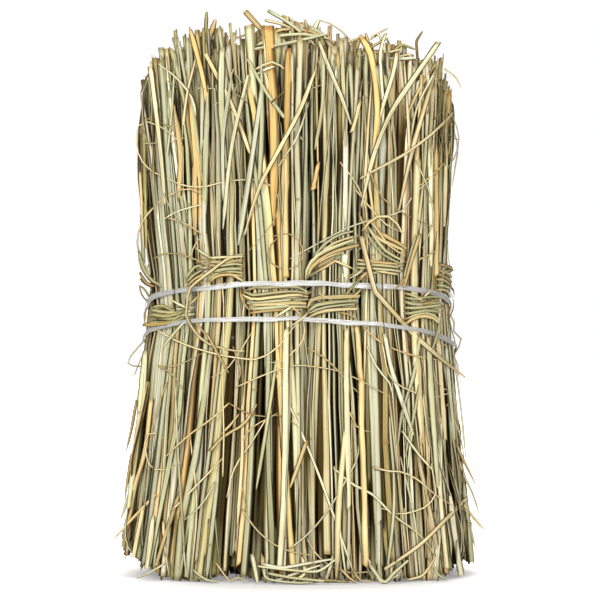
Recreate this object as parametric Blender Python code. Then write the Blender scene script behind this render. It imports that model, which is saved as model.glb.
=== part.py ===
# Bunch of kusha grass, standing on its cut ends.
# Seventeen small hanks of dried stalks are each bound round the waist with a wisp of the same grass. They are
# packed together in three rows, and two loops of flat plastic twine hold them. A few loose stalks cross outside.
# Metres, +Z up. The origin is on the floor, under the middle of the bunch. -Y is the front.

import math
import random

import bmesh
import bpy
from mathutils import Vector

# The packed bunch, measured round its waist, where the twine goes.
WAIST_HEIGHT = 0.126
HALF_WIDTH = 0.0692
HALF_DEPTH = 0.0425
CORNER_POWER = 2.9  # 2 is an ellipse, and a higher power a squarer outline
FOOT_SPREAD = 0.185  # how much wider the foot is than the waist
TOP_SPREAD = 0.055
TALLEST = 0.250

# The hanks.
HANK_GAP = 0.0007  # left between neighbours
CELL_ROUNDNESS = 9.0  # a lower power rounds a hank's corners more
WAIST_ROUND = 1.04  # the widest a hank bulges under its tie, as a share of its radius
END_ROUND = 1.60
GROOVE_DEPTH = 0.0013  # between two stalks
TIP_NOTCH = 0.010  # how far a gap between stalks runs down from their tips
FOOT_NOTCH = 0.005
CORE_SHARE = 0.58  # radius of the tips' inner ends, as a share of the hank's
STALK_TWIST = math.radians(9)
FRONT_STALKS = 11
BACK_STALKS = 10
HIDDEN_STALKS = 8
LOWER_RING = 0.084  # heights of the rings between the tie and the ends, where the hank is full again
UPPER_RING = 0.170

# The wisps that tie the hanks.
TIE_BED = 0.0036  # how far a hank is squeezed in under its tie
TIE_REACH = 0.030  # how far from its tie a hank is full again
TIE_CLEARANCE = 0.0015
TIE_THICKNESS = 0.0018
TIE_STATIONS = 12

# The plastic twine.
TWINE_WIDTH = 0.0024
TWINE_THICKNESS = 0.0007
TWINE_CLEARANCE = 0.0009
TWINE_STATIONS = 36
TWINE_TILT = 0.20  # drop per metre from the front to the back
KNOT_SIZE = 0.0030

LOOSE_CLEARANCE = 0.0008
LOOSE_STEP = 0.016  # longest straight stretch of a loose stalk
OVER_TWINE = 0.0022  # extra room for a stalk that passes over the twine

STRAW = (0.62, 0.56, 0.36)
GREEN_STRAW = (0.56, 0.55, 0.38)
GOLD_STRAW = (0.72, 0.52, 0.24)
WISP = (0.55, 0.46, 0.28)
TWINE = (0.82, 0.83, 0.85)


class Hank:
    """One hank: where its waist is, how its foot and top lean, and where its wisp is tied."""

    def __init__(self, name, waist, radius, foot, top, tip, tie, tie_half=0.0050, tie_tilt=0.0, hidden=False):
        self.name = name
        self.waist = Vector(waist)
        self.radius = radius
        self.foot = Vector(foot)
        self.top = Vector(top)
        self.tip = tip
        self.tie = tie
        self.tie_half = tie_half
        self.tie_tilt = tie_tilt
        self.stalks = HIDDEN_STALKS if hidden else BACK_STALKS if self.waist.y > 0.01 else FRONT_STALKS
        self.dice = random.Random(name)


# Waist, radius, then the shift of the foot and of the top, the height of the tips and the height of the tie.
HANKS = [
    Hank("front_1", (-0.0545, -0.0215), 0.0135, (-0.0045, 0.0), (-0.0050, 0.0), 0.228, 0.1215, 0.0048),
    Hank("front_2", (-0.0335, -0.0300), 0.0110, (-0.0070, 0.0), (-0.0055, 0.0), 0.240, 0.1410, 0.0060, 0.10),
    Hank("front_3", (-0.0105, -0.0290), 0.0140, (-0.0010, 0.0), (-0.0020, 0.0), 0.247, 0.1265, 0.0068),
    Hank("front_4", (0.0150, -0.0290), 0.0125, (0.0010, 0.0), (0.0020, 0.0), 0.238, 0.1250, 0.0062, 0.12),
    Hank("front_5", (0.0362, -0.0285), 0.0105, (-0.0015, 0.0), (0.0010, 0.0), 0.240, 0.1420, 0.0040),
    Hank("front_6", (0.0530, -0.0225), 0.0100, (0.0005, 0.0), (0.0020, 0.0), 0.231, 0.1245, 0.0058, -0.08),
    Hank("side_left", (-0.0560, 0.0050), 0.0140, (-0.0040, 0.0), (-0.0020, 0.0), 0.226, 0.1330, 0.0050),
    Hank("middle_left", (-0.0285, -0.0010), 0.0140, (0.0000, 0.0), (-0.0010, 0.0), 0.238, 0.1240, hidden=True),
    Hank("middle", (0.0010, 0.0000), 0.0150, (0.0000, 0.0), (0.0000, 0.0), 0.242, 0.1320, hidden=True),
    Hank("middle_right", (0.0305, -0.0005), 0.0140, (0.0005, 0.0), (0.0005, 0.0), 0.236, 0.1270, hidden=True),
    Hank("side_right", (0.0575, 0.0005), 0.0135, (0.0030, 0.0), (0.0010, 0.0), 0.229, 0.1370, 0.0066),
    Hank("back_1", (0.0525, 0.0265), 0.0125, (0.0040, 0.0), (0.0020, 0.0), 0.232, 0.1290, 0.0055, 0.06),
    Hank("back_2", (0.0320, 0.0300), 0.0115, (0.0020, 0.0), (0.0010, 0.0), 0.238, 0.1360, 0.0050, -0.10),
    Hank("back_3", (0.0095, 0.0300), 0.0130, (0.0005, 0.0), (0.0000, 0.0), 0.244, 0.1240, 0.0062),
    Hank("back_4", (-0.0130, 0.0300), 0.0120, (-0.0010, 0.0), (-0.0005, 0.0), 0.240, 0.1400, 0.0055, 0.08),
    Hank("back_5", (-0.0330, 0.0295), 0.0110, (-0.0020, 0.0), (-0.0020, 0.0), 0.236, 0.1260, 0.0050),
    Hank("back_6", (-0.0510, 0.0270), 0.0120, (-0.0040, 0.0), (-0.0030, 0.0), 0.230, 0.1350, 0.0058, -0.06),
]


def above(z):
    """0 at the waist, 1 at the tallest tips."""
    return max(0.0, (z - WAIST_HEIGHT) / (TALLEST - WAIST_HEIGHT))


def below(z):
    """0 at the waist, 1 on the floor."""
    return max(0.0, (WAIST_HEIGHT - z) / WAIST_HEIGHT)


def spread(z):
    """How much wider the bunch is at this height than at its waist."""
    return 1 + FOOT_SPREAD * below(z) ** 0.85 + TOP_SPREAD * above(z) ** 0.6


def centre(hank, z):
    return hank.waist * spread(z) + hank.foot * below(z) ** 1.4 + hank.top * above(z) ** 1.4


def edge_distance(start, way, z):
    """How far the bunch's outside is from a point inside it, along a level direction."""
    half_width, half_depth = HALF_WIDTH * spread(z), HALF_DEPTH * spread(z)
    near, far = 0.0, 2 * half_width
    for _ in range(24):
        middle = (near + far) / 2
        p = start + way * middle
        outside = abs(p.x / half_width) ** CORNER_POWER + abs(p.y / half_depth) ** CORNER_POWER > 1
        near, far = (near, middle) if outside else (middle, far)
    return near


def bulge(hank, z):
    """The widest a hank may bulge where nothing presses on it. It is round under its tie, and opens out from there."""
    opened = min(1.0, max(0.0, (abs(z - WAIST_HEIGHT) - 0.033) / 0.008))
    return hank.radius * spread(z) * (WAIST_ROUND + (END_ROUND - WAIST_ROUND) * opened)


def outline(hank, angle, z):
    """Distance from a hank's centre to its side. Each hank has a rounded cell of the packed bunch to itself."""
    here = centre(hank, z)
    way = Vector((math.cos(angle), math.sin(angle)))
    own = hank.radius * spread(z)
    total = (1 / edge_distance(here, way, z)) ** CELL_ROUNDNESS + (1 / bulge(hank, z)) ** CELL_ROUNDNESS
    for other in HANKS:
        if other is hank:
            continue
        apart = centre(other, z) - here
        facing = apart.normalized().dot(way)
        if facing > 0:
            its = other.radius * spread(z)
            reach = (apart.length_squared + own**2 - its**2) / (2 * apart.length)
            total += (facing / reach) ** CELL_ROUNDNESS
    return total ** (-1 / CELL_ROUNDNESS) - HANK_GAP / 2


def on_hank(hank, angle, z, inward=0.0, share=1.0):
    """A point at this angle and height, inward of the hank's side, or at a share of its radius."""
    distance = (outline(hank, angle, z) - inward) * share
    flat = centre(hank, z) + Vector((math.cos(angle), math.sin(angle))) * distance
    return Vector((flat.x, flat.y, z))


def ties_of(hank):
    """(height, half its width, tilt) of each wisp on the hank. One hank is bound twice."""
    found = [(hank.tie, hank.tie_half, hank.tie_tilt)]
    if hank.name == "front_4":
        found.append((0.1475, 0.0050, 0.42))
    return found


def tie_bed(hank):
    """Lowest and highest height that the hank's wisps cover."""
    room = 0.0015
    low = min(z - half - abs(tilt) * hank.radius for z, half, tilt in ties_of(hank))
    high = max(z + half + abs(tilt) * hank.radius for z, half, tilt in ties_of(hank))
    return low - room, high + room


def squeeze(hank, z):
    """How far the hank is drawn in at this height: fully under its tie, and less towards the ends."""
    low, high = tie_bed(hank)
    if low <= z <= high:
        return TIE_BED
    away = low - z if z < low else z - high
    return TIE_BED * max(0.0, 1 - away / TIE_REACH)


def material(name, colour, roughness):
    made = bpy.data.materials.new(name)
    made.use_nodes = True
    shader = made.node_tree.nodes["Principled BSDF"]
    shader.inputs["Base Color"].default_value = (*colour, 1)
    shader.inputs["Roughness"].default_value = roughness
    shader.inputs["Metallic"].default_value = 0.0
    return made


def finished(bm, name, finish):
    """The mesh as an object in the scene, its faces pointing out and its round sides smooth."""
    bmesh.ops.recalc_face_normals(bm, faces=bm.faces)
    mesh = bpy.data.meshes.new(name)
    bm.to_mesh(mesh)
    bm.free()
    mesh.shade_smooth()
    mesh.set_sharp_from_angle(angle=math.radians(40))
    mesh.materials.append(finish)
    made = bpy.data.objects.new(name, mesh)
    bpy.context.scene.collection.objects.link(made)
    return made


def new_ring(bm, places):
    """A closed loop of points, each marked with its place in the loop. Returns the mark and the loop's edges."""
    mark = bm.verts.layers.int.new("place")
    circle = bmesh.ops.create_circle(bm, segments=len(places), radius=1.0)
    for i, vertex in enumerate(circle["verts"]):
        vertex[mark] = i
        vertex.co = places[i]
    return mark, list(bm.edges)


def extrude_to(bm, mark, edges, places):
    """Carries a loop on to new places. Returns its new points and edges."""
    grown = bmesh.ops.extrude_edge_only(bm, edges=edges)["geom"]
    points = [g for g in grown if isinstance(g, bmesh.types.BMVert)]
    for vertex in points:
        vertex.co = places[vertex[mark]]
    return points, [g for g in grown if isinstance(g, bmesh.types.BMEdge)]


def close_with_tips(bm, mark, edges, inner, middle):
    """Closes a hank's end: each stalk's cut face runs in to one inner point, and those run in to the middle."""
    points, edges = extrude_to(bm, mark, edges, [inner[i // 3] for i in range(3 * len(inner))])
    keep = {vertex[mark]: vertex for vertex in points if vertex[mark] % 3 == 0}
    welds = {vertex: keep[vertex[mark] - vertex[mark] % 3] for vertex in points if vertex[mark] % 3}
    bmesh.ops.weld_verts(bm, targetmap=welds)
    rim = [edge for edge in bm.edges if edge.is_boundary and all(v in keep.values() for v in edge.verts)]
    points, _ = extrude_to(bm, mark, rim, [middle] * (3 * len(inner)))
    bmesh.ops.pointmerge(bm, verts=points, merge_co=middle)


def stalk_angles(hank):
    """Angles of the stalks round a hank, three points each: both edges of the stalk, then the groove beside it."""
    pitch = 2 * math.pi / hank.stalks
    angles = []
    for i in range(hank.stalks):
        at = (i + hank.dice.uniform(-0.13, 0.13)) * pitch
        half = pitch * hank.dice.uniform(0.24, 0.32)
        angles += [at - half, at + half, (i + 0.5) * pitch]
    return angles


def end_heights(heights, notch):
    """The heights of an end ring's points. A groove's end lies a notch inside the shorter of its two stalks."""
    made = []
    for i, height in enumerate(heights):
        neighbour = heights[(i + 1) % len(heights)]
        shorter = min(height, neighbour) if notch > 0 else max(height, neighbour)
        made += [height, height, shorter - notch]
    return made


def hank_solid(hank, finish):
    """The hank's stalks as one fluted solid, squeezed at the tie, with its stalks' tips at their own heights."""
    angles = stalk_angles(hank)
    dice = hank.dice
    tips = [hank.tip + dice.uniform(-0.013, 0.010) for _ in range(hank.stalks)]
    feet = [max(0.0, dice.uniform(-0.005, 0.0045)) for _ in range(hank.stalks)]
    if hank.name == "middle":
        feet = [0.0] * hank.stalks
    lean = dice.uniform(-STALK_TWIST, STALK_TWIST)
    low, high = tie_bed(hank)

    def ring(heights):
        places = []
        for i, angle in enumerate(angles):
            z = heights[i]
            groove = GROOVE_DEPTH if i % 3 == 2 else 0.0
            turned = angle + lean * (z - WAIST_HEIGHT) / WAIST_HEIGHT
            places.append(on_hank(hank, turned, z, squeeze(hank, z) + groove))
        return places

    bm = bmesh.new()
    mark, foot = new_ring(bm, ring(end_heights(feet, -FOOT_NOTCH)))
    edges = foot
    for z in (LOWER_RING, low, high, UPPER_RING):
        _, edges = extrude_to(bm, mark, edges, ring([z] * len(angles)))
    _, edges = extrude_to(bm, mark, edges, ring(end_heights(tips, TIP_NOTCH)))
    for end, heights in ((foot, feet), (edges, tips)):
        turn = lean * (heights[0] - WAIST_HEIGHT) / WAIST_HEIGHT
        inner = [
            on_hank(hank, angles[3 * i] + turn, height, share=CORE_SHARE) for i, height in enumerate(heights)
        ]
        middle = sum(inner, Vector()) / len(inner)
        if end is foot:
            middle.z = max(heights)
        close_with_tips(bm, mark, end, inner, middle)
    return finished(bm, "hank_" + hank.name, finish)


def turned_ring(bm, profile, stations, radius=1.0):
    """Turns a closed profile of (outward, up) points once round Z, at a radius that keeps it clear of the axis."""
    mark, edges = new_ring(bm, [Vector((radius + out, 0.0, up)) for out, up in profile])
    bmesh.ops.spin(
        bm,
        geom=list(bm.verts) + edges,
        cent=(0, 0, 0),
        axis=(0, 0, 1),
        dvec=(0, 0, 0),
        angle=2 * math.pi,
        steps=stations,
        use_merge=True,
        use_duplicate=False,
    )
    bmesh.ops.remove_doubles(bm, verts=bm.verts, dist=0.00001)


def tie_profile(half, thickness):
    """Two strands side by side, flat on the inside."""
    return [
        (0.0, -half),
        (0.0, half),
        (thickness, 0.62 * half),
        (0.45 * thickness, 0.05 * half),
        (thickness, -0.58 * half),
    ]


def tie_solid(hank, number, finish):
    """A wisp of grass wound round the hank's waist."""
    height, half, tilt = ties_of(hank)[number]
    bm = bmesh.new()
    turned_ring(bm, tie_profile(half, TIE_THICKNESS), TIE_STATIONS)
    inside = TIE_BED - TIE_CLEARANCE
    for vertex in bm.verts:
        angle = math.atan2(vertex.co.y, vertex.co.x)
        out = math.hypot(vertex.co.x, vertex.co.y) - 1.0
        z = height + vertex.co.z + tilt * hank.radius * math.cos(angle)
        vertex.co = on_hank(hank, angle, z, inside - out)
    name = "tie_" + hank.name + ("_upper" if number else "")
    return finished(bm, name, finish)


def outside(angle, z, clear):
    """A point on the packed bunch's outside, moved out by a clearance."""
    half_width, half_depth = HALF_WIDTH * spread(z) + clear, HALF_DEPTH * spread(z) + clear
    c, s = math.cos(angle), math.sin(angle)
    x = half_width * math.copysign(abs(c) ** (2 / CORNER_POWER), c)
    y = half_depth * math.copysign(abs(s) ** (2 / CORNER_POWER), s)
    return x, y


def twine_solid(name, front_height, sag, level_at, finish, knot_angle):
    """A loop of flat twine, higher at the front than at the back, that sags to both sides of where it is level."""
    profile = [
        (0.0, -TWINE_WIDTH / 2),
        (0.0, TWINE_WIDTH / 2),
        (TWINE_THICKNESS, 0.30 * TWINE_WIDTH),
        (TWINE_THICKNESS, -0.36 * TWINE_WIDTH),
    ]
    bm = bmesh.new()
    turned_ring(bm, profile, TWINE_STATIONS)
    step = 2 * math.pi / TWINE_STATIONS
    for vertex in bm.verts:
        angle = math.atan2(vertex.co.y, vertex.co.x)
        out = math.hypot(vertex.co.x, vertex.co.y) - 1.0
        up = vertex.co.z
        if abs(angle - knot_angle) < 0.6 * step:
            up *= 2 * KNOT_SIZE / TWINE_WIDTH
            out *= KNOT_SIZE / TWINE_THICKNESS
        flat = outside(angle, front_height, 0.0)
        z = front_height - TWINE_TILT * (flat[1] + HALF_DEPTH) - sag * (flat[0] - level_at) ** 2 + up
        x, y = outside(angle, z, TWINE_CLEARANCE + out)
        vertex.co = Vector((x, y, z))
    return finished(bm, name, finish)


def face_depth(x, z):
    """How far the bunch's broad face is from its middle plane, at this place across and up."""
    half_width, half_depth = HALF_WIDTH * spread(z), HALF_DEPTH * spread(z)
    across = min(abs(x) / half_width, 0.97)
    return half_depth * (1 - across**CORNER_POWER) ** (1 / CORNER_POWER)


def short_steps(route):
    """The route with points added, so that no step of it is longer than a loose stalk's longest."""
    made = [route[0]]
    for start, end in zip(route, route[1:]):
        steps = math.ceil(math.hypot(end[0] - start[0], end[1] - start[1]) / LOOSE_STEP)
        for i in range(1, steps + 1):
            made.append([a + (b - a) * i / steps for a, b in zip(start, end)])
    return made


def loose_stalk(name, points, width, thickness, finish, side=-1, lift=0.0):
    """A flat stalk across a broad face. Its points are (across, up, extra room, share of the width)."""
    route = short_steps(points)
    centres = [
        Vector((x, side * (face_depth(x, z) + LOOSE_CLEARANCE + thickness / 2 + lift + room), z))
        for x, z, room, _ in route
    ]
    bm = bmesh.new()
    mark = edges = foot = None
    for i, point in enumerate(centres):
        along = (centres[min(i + 1, len(centres) - 1)] - centres[max(i - 1, 0)]).normalized()
        out = Vector((0, side, 0))
        across = along.cross(out).normalized()
        out = across.cross(along).normalized()
        half = width * route[i][3] / 2
        places = [
            point + across * half,
            point + across * half * 0.45 + out * thickness / 2,
            point - across * half * 0.45 + out * thickness / 2,
            point - across * half,
            point - out * thickness / 2,
        ]
        if edges is None:
            mark, foot = new_ring(bm, places)
            edges = foot
        else:
            _, edges = extrude_to(bm, mark, edges, places)
    for end in (foot, edges):
        bmesh.ops.edgeloop_fill(bm, edges=end)
    return finished(bm, name, finish)


def main():
    for old in list(bpy.data.objects):
        bpy.data.objects.remove(old)
    straw = material("straw", STRAW, 0.62)
    green = material("green_straw", GREEN_STRAW, 0.62)
    gold = material("gold_straw", GOLD_STRAW, 0.55)
    wisp = material("wisp", WISP, 0.70)
    plastic = material("twine", TWINE, 0.35)

    for number, hank in enumerate(HANKS):
        hank_solid(hank, green if number % 3 == 0 else straw)
        for tie in range(len(ties_of(hank))):
            tie_solid(hank, tie, wisp)

    twine_solid("twine_upper", 0.1341, 0.42, 0.0, plastic, math.radians(81))
    twine_solid("twine_lower", 0.1183, 0.62, -0.025, plastic, math.radians(99))

    over = OVER_TWINE
    loose_stalk(
        "blade_top_right",
        [(0.0630, 0.2430, 0.0, 1.0), (0.0480, 0.2170, 0.0, 0.95), (0.0338, 0.1940, 0.0, 0.8), (0.0275, 0.1680, 0.0, 0.4)],
        0.0040, 0.0010, straw,
    )
    loose_stalk(
        "blade_top_left",
        [(0.0068, 0.2300, 0.0, 0.5), (-0.0104, 0.1940, 0.0, 0.9), (-0.0170, 0.1800, 0.0, 0.9), (-0.0248, 0.1575, 0.0, 0.4)],
        0.0028, 0.0010, straw,
    )
    loose_stalk(
        "bent_blade",
        [
            (0.0270, 0.1575, over, 0.45),
            (0.0338, 0.1314, over, 1.0),
            (0.0470, 0.1157, over, 0.85),
            (0.0600, 0.1040, 0.0010, 0.6),
            (0.0735, 0.0927, 0.0, 0.2),
        ],
        0.0036, 0.0010, gold,
    )
    loose_stalk(
        "stick_right",
        [(0.0684, 0.2110, 0.0, 0.9), (0.0480, 0.1930, 0.0, 1.0), (0.0270, 0.1813, 0.0, 0.6)],
        0.0020, 0.0014, gold, lift=0.0015,
    )
    loose_stalk(
        "bent_blade_left",
        [
            (-0.0250, 0.1500, over, 0.6),
            (-0.0396, 0.1400, over, 1.0),
            (-0.0510, 0.1300, over, 1.0),
            (-0.0522, 0.1179, over, 1.0),
            (-0.0436, 0.1085, over, 1.0),
            (-0.0250, 0.1040, 0.0005, 0.5),
        ],
        0.0024, 0.0010, straw,
    )
    loose_stalk(
        "foot_stalk_left",
        [(-0.0650, 0.0414, 0.0, 1.0), (-0.0745, 0.0306, 0.0, 0.9), (-0.0838, 0.0198, 0.0, 0.3)],
        0.0022, 0.0010, gold,
    )
    loose_stalk(
        "foot_stalk_right",
        [(0.0716, 0.0380, 0.0010, 1.0), (0.0540, 0.0210, 0.0006, 1.0), (0.0365, 0.0050, 0.0026, 0.9)],
        0.0026, 0.0012, straw, lift=0.0010,
    )
    loose_stalk(
        "spike_right",
        [(0.0680, 0.0620, 0.0, 0.7), (0.0745, 0.0460, 0.0, 1.0), (0.0838, 0.0240, 0.0, 0.2)],
        0.0020, 0.0009, gold,
    )
    loose_stalk(
        "gold_stalk",
        [(0.0279, 0.1000, 0.0, 0.9), (0.0283, 0.0560, 0.0, 1.0), (0.0290, 0.0130, 0.0, 1.0)],
        0.0036, 0.0022, gold,
    )
    loose_stalk(
        "back_blade_long",
        [(-0.0420, 0.2150, 0.0, 0.5), (-0.0180, 0.1800, 0.0, 1.0), (0.0050, 0.1560, 0.0, 0.4)],
        0.0034, 0.0010, straw, side=1, lift=0.0006,
    )
    loose_stalk(
        "back_blade_bent",
        [(0.0300, 0.0900, 0.0, 0.4), (0.0120, 0.0620, 0.0004, 1.0), (0.0010, 0.0250, 0.0034, 0.9)],
        0.0030, 0.0010, gold, side=1, lift=0.0006,
    )


main()
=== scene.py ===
import math
import time

import bmesh
import bpy
import numpy as np
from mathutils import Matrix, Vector
from mathutils.bvhtree import BVHTree


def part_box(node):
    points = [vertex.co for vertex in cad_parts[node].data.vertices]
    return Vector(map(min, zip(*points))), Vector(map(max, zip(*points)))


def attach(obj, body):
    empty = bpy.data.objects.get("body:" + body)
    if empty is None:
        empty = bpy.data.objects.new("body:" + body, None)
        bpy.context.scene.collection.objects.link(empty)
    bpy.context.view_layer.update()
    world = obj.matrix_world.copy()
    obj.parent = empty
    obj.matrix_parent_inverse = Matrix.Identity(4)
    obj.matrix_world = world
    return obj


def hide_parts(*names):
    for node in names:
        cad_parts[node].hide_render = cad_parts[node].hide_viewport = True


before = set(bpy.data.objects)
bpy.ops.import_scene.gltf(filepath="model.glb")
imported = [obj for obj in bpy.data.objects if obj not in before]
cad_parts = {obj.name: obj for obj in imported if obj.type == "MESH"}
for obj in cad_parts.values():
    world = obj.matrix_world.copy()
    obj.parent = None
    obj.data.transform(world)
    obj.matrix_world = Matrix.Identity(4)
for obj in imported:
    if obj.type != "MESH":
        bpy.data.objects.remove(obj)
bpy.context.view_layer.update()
started = time.time()
fullTurn = 2 * math.pi
mm = 0.001


def stage(words):
    print(f"{time.time() - started:5.1f} s  {words}")


# ---- camera, floor and light

camera = {
    "distance": 1.150,  # from the middle of the bunch
    "eyeHeight": 0.1269,
    "frontFace": -0.045,  # the plane that the photograph's widths are read on
    "widthSeen": 0.270,  # across the picture, on that plane
    "sensor": 36.0,
}
light = {
    "skyStrength": 0.24,  # on the grass
    "skyColour": (1.0, 0.94, 0.69),
    "backdropStrength": 1.02,  # behind it
    "keyPower": 20.5,
    "keyPlace": (-0.80, -1.15, 0.95),
    "keySize": 0.60,
    "fillPower": 18.3,
    "fillPlace": (0.55, -1.75, 0.50),
    "fillSize": 0.8,
    "topPower": 11.0,
    "topPlace": (0.0, -0.40, 1.5),
    "topSize": 0.8,
    "backPower": 13.0,
    "backPlace": (0.35, 1.5, 0.75),
    "backSize": 0.8,
    "floorShades": (0.42, 0.90),  # its colour in the painted shade round the foot, and away from it
    "shadeReach": (0.50, 1.30),  # where that shade starts to fade and where it ends, in footprints
    "shadeShift": 0.032,  # how far the middle of the shade lies in front of the bunch
    "floorGlow": (0.28, 1.1),  # beside the bunch, weaker there as part of the painted shade, and away from it, as white as the backdrop
    "glowReach": (0.96, 1.72),  # where it starts to grow and where it is full, in footprints
    "footprint": (0.084, 0.058),  # half the width and depth of the foot
    "floorRoughness": 0.9,
}


def aim(thing, place, target):
    thing.location = place
    thing.rotation_euler = (Vector(target) - Vector(place)).to_track_quat("-Z", "Y").to_euler()


def makeCamera():
    data = bpy.data.cameras.new("camera")
    data.sensor_width = camera["sensor"]
    data.lens = camera["sensor"] * (camera["distance"] + camera["frontFace"]) / camera["widthSeen"]
    made = bpy.data.objects.new("camera", data)
    bpy.context.scene.collection.objects.link(made)
    aim(made, (0, -camera["distance"], camera["eyeHeight"]), (0, 0, camera["eyeHeight"]))
    bpy.context.scene.camera = made


def makeLight(name, place, size, power):
    data = bpy.data.lights.new(name, "AREA")
    data.size = size
    data.energy = power
    made = bpy.data.objects.new(name, data)
    bpy.context.scene.collection.objects.link(made)
    aim(made, place, (0, 0, 0.12))


def makeStudio():
    for name in ("key", "fill", "top", "back"):
        makeLight(name + "Light", light[name + "Place"], light[name + "Size"], light[name + "Power"])
    world = bpy.data.worlds.new("studio")
    world.use_nodes = True
    bpy.context.scene.world = world
    nodes, links = world.node_tree.nodes, world.node_tree.links
    sky = nodes["Background"]
    seen = nodes.new("ShaderNodeLightPath")
    colour = nodes.new("ShaderNodeMix")
    colour.data_type = "RGBA"
    colour.inputs[6].default_value = (*light["skyColour"], 1)
    colour.inputs[7].default_value = (1, 1, 1, 1)
    links.new(seen.outputs["Is Camera Ray"], colour.inputs[0])
    links.new(colour.outputs[2], sky.inputs["Color"])
    # What the camera sees behind the bunch is whiter than what lights it.
    strength = nodes.new("ShaderNodeMix")
    strength.inputs[2].default_value = light["skyStrength"]
    strength.inputs[3].default_value = light["backdropStrength"]
    links.new(seen.outputs["Is Camera Ray"], strength.inputs[0])
    links.new(strength.outputs[0], sky.inputs["Strength"])
    bpy.context.scene.view_settings.view_transform = "Standard"


def newObject(name, bm):
    mesh = bpy.data.meshes.new(name)
    bm.to_mesh(mesh)
    bm.free()
    made = bpy.data.objects.new(name, mesh)
    bpy.context.scene.collection.objects.link(made)
    return made


# ---- shader maths, and the floor


class Wire:  # a node's output; arithmetic on it adds Math nodes
    def __init__(self, sheet, socket):
        self.sheet, self.socket = sheet, socket

    def maths(self, operation, *others):
        return self.sheet.node("ShaderNodeMath", {"operation": operation}, dict(enumerate((self, *others))))

    def __add__(self, other):
        return self.maths("ADD", other)

    __radd__ = __add__

    def __mul__(self, other):
        return self.maths("MULTIPLY", other)

    __rmul__ = __mul__

    def __sub__(self, other):
        return self.maths("SUBTRACT", other)

    def __rsub__(self, other):
        return self.sheet.node("ShaderNodeMath", {"operation": "SUBTRACT"}, {0: other, 1: self})

    def __truediv__(self, other):
        return self.maths("DIVIDE", other)


class NodeSheet:  # a material's nodes
    def __init__(self, name):
        self.material = bpy.data.materials.new(name)
        self.material.use_nodes = True
        self.tree = self.material.node_tree
        self.shader = self.tree.nodes["Principled BSDF"]

    def node(self, kind, settings, inputs, output=0):
        made = self.tree.nodes.new(kind)
        for key, value in settings.items():
            setattr(made, key, value)
        for key, value in inputs.items():
            self.feed(made.inputs[key], value)
        return Wire(self, made.outputs[output])

    def feed(self, socket, value):
        if isinstance(value, Wire):
            self.tree.links.new(value.socket, socket)
        else:
            socket.default_value = value

    def mixed(self, factor, a, b, blend="MIX"):
        settings = {"data_type": "RGBA", "blend_type": blend}
        return self.node("ShaderNodeMix", settings, {0: factor, 6: a, 7: b}, 2)

    def vector(self, x, y, z):
        return self.node("ShaderNodeCombineXYZ", {}, {0: x, 1: y, 2: z})

    def noise(self, place, detail=2.0, roughness=0.5):
        inputs = {"Vector": place, "Scale": 1.0, "Detail": detail, "Roughness": roughness}
        return self.node("ShaderNodeTexNoise", {}, inputs)

    def band(self, value, low, high, below=0.0, above=1.0):  # below up to low, above past high
        settings = {"interpolation_type": "SMOOTHSTEP"}
        return self.node("ShaderNodeMapRange", settings, {0: value, 1: low, 2: high, 3: below, 4: above})


def makeFloor():
    # White, with a soft shade painted round the foot, in its colour and in a weaker glow. The glow is for the
    # camera only and doesn't light the bunch.
    bm = bmesh.new()
    bmesh.ops.create_grid(bm, x_segments=1, y_segments=1, size=3.0)
    floor = newObject("floor", bm)
    sheet = NodeSheet("floorPaint")
    place = sheet.node("ShaderNodeTexCoord", {}, {}, 3)
    halfWidth, halfDepth = light["footprint"]
    byFoot = {0: place, 1: (1 / halfWidth, 1 / halfDepth, 1), 2: (0, light["shadeShift"] / halfDepth, 0)}
    scaled = sheet.node("ShaderNodeVectorMath", {"operation": "MULTIPLY_ADD"}, byFoot)
    reach = sheet.node("ShaderNodeVectorMath", {"operation": "LENGTH"}, {0: scaled}, 1)
    toCamera = sheet.node("ShaderNodeLightPath", {}, {})
    inputs = sheet.shader.inputs
    sheet.feed(inputs["Base Color"], sheet.band(reach, *light["shadeReach"], *light["floorShades"]))
    glow = sheet.band(reach, *light["glowReach"], *light["floorGlow"])
    sheet.feed(inputs["Emission Strength"], glow * toCamera)
    inputs["Emission Color"].default_value = (1, 1, 1, 1)
    inputs["Roughness"].default_value = light["floorRoughness"]
    floor.data.materials.append(sheet.material)


grassLook = {
    "veinsPerMm": 1.7,
    "veinStrength": 0.58,  # how much darker a vein is
    "edgeShadeStrength": 0.95,  # painted shade: how much darker the sides of a stalk are, where its neighbours would shadow it
    "edgeShadeColour": (0.034, 0.023, 0.006, 1),
    "sideShadeStrength": 0.62,  # painted shade: how much browner it gets away from its middle, as on a round stalk
    "sideShadeColour": (0.60, 0.52, 0.30, 1),
    "blotchStrength": 0.45,
    "spotColour": (0.20, 0.12, 0.05, 1),
    "jointColour": (0.20, 0.13, 0.06, 1),
    "cutColour": (0.50, 0.38, 0.20, 1),  # over the last few mm of a stalk
    "cutLength": 4.0,
    "driedColour": (0.80, 0.70, 0.46, 1),
    "jointSpacing": 97.0,  # mm
    "jointed": 0.86,  # the lowest seed that has joints
    "roughness": 0.56,
    "gloss": 0.16,
    "bumpStrength": 0.65,
    "bumpDepth": 0.00022,
}


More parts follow.
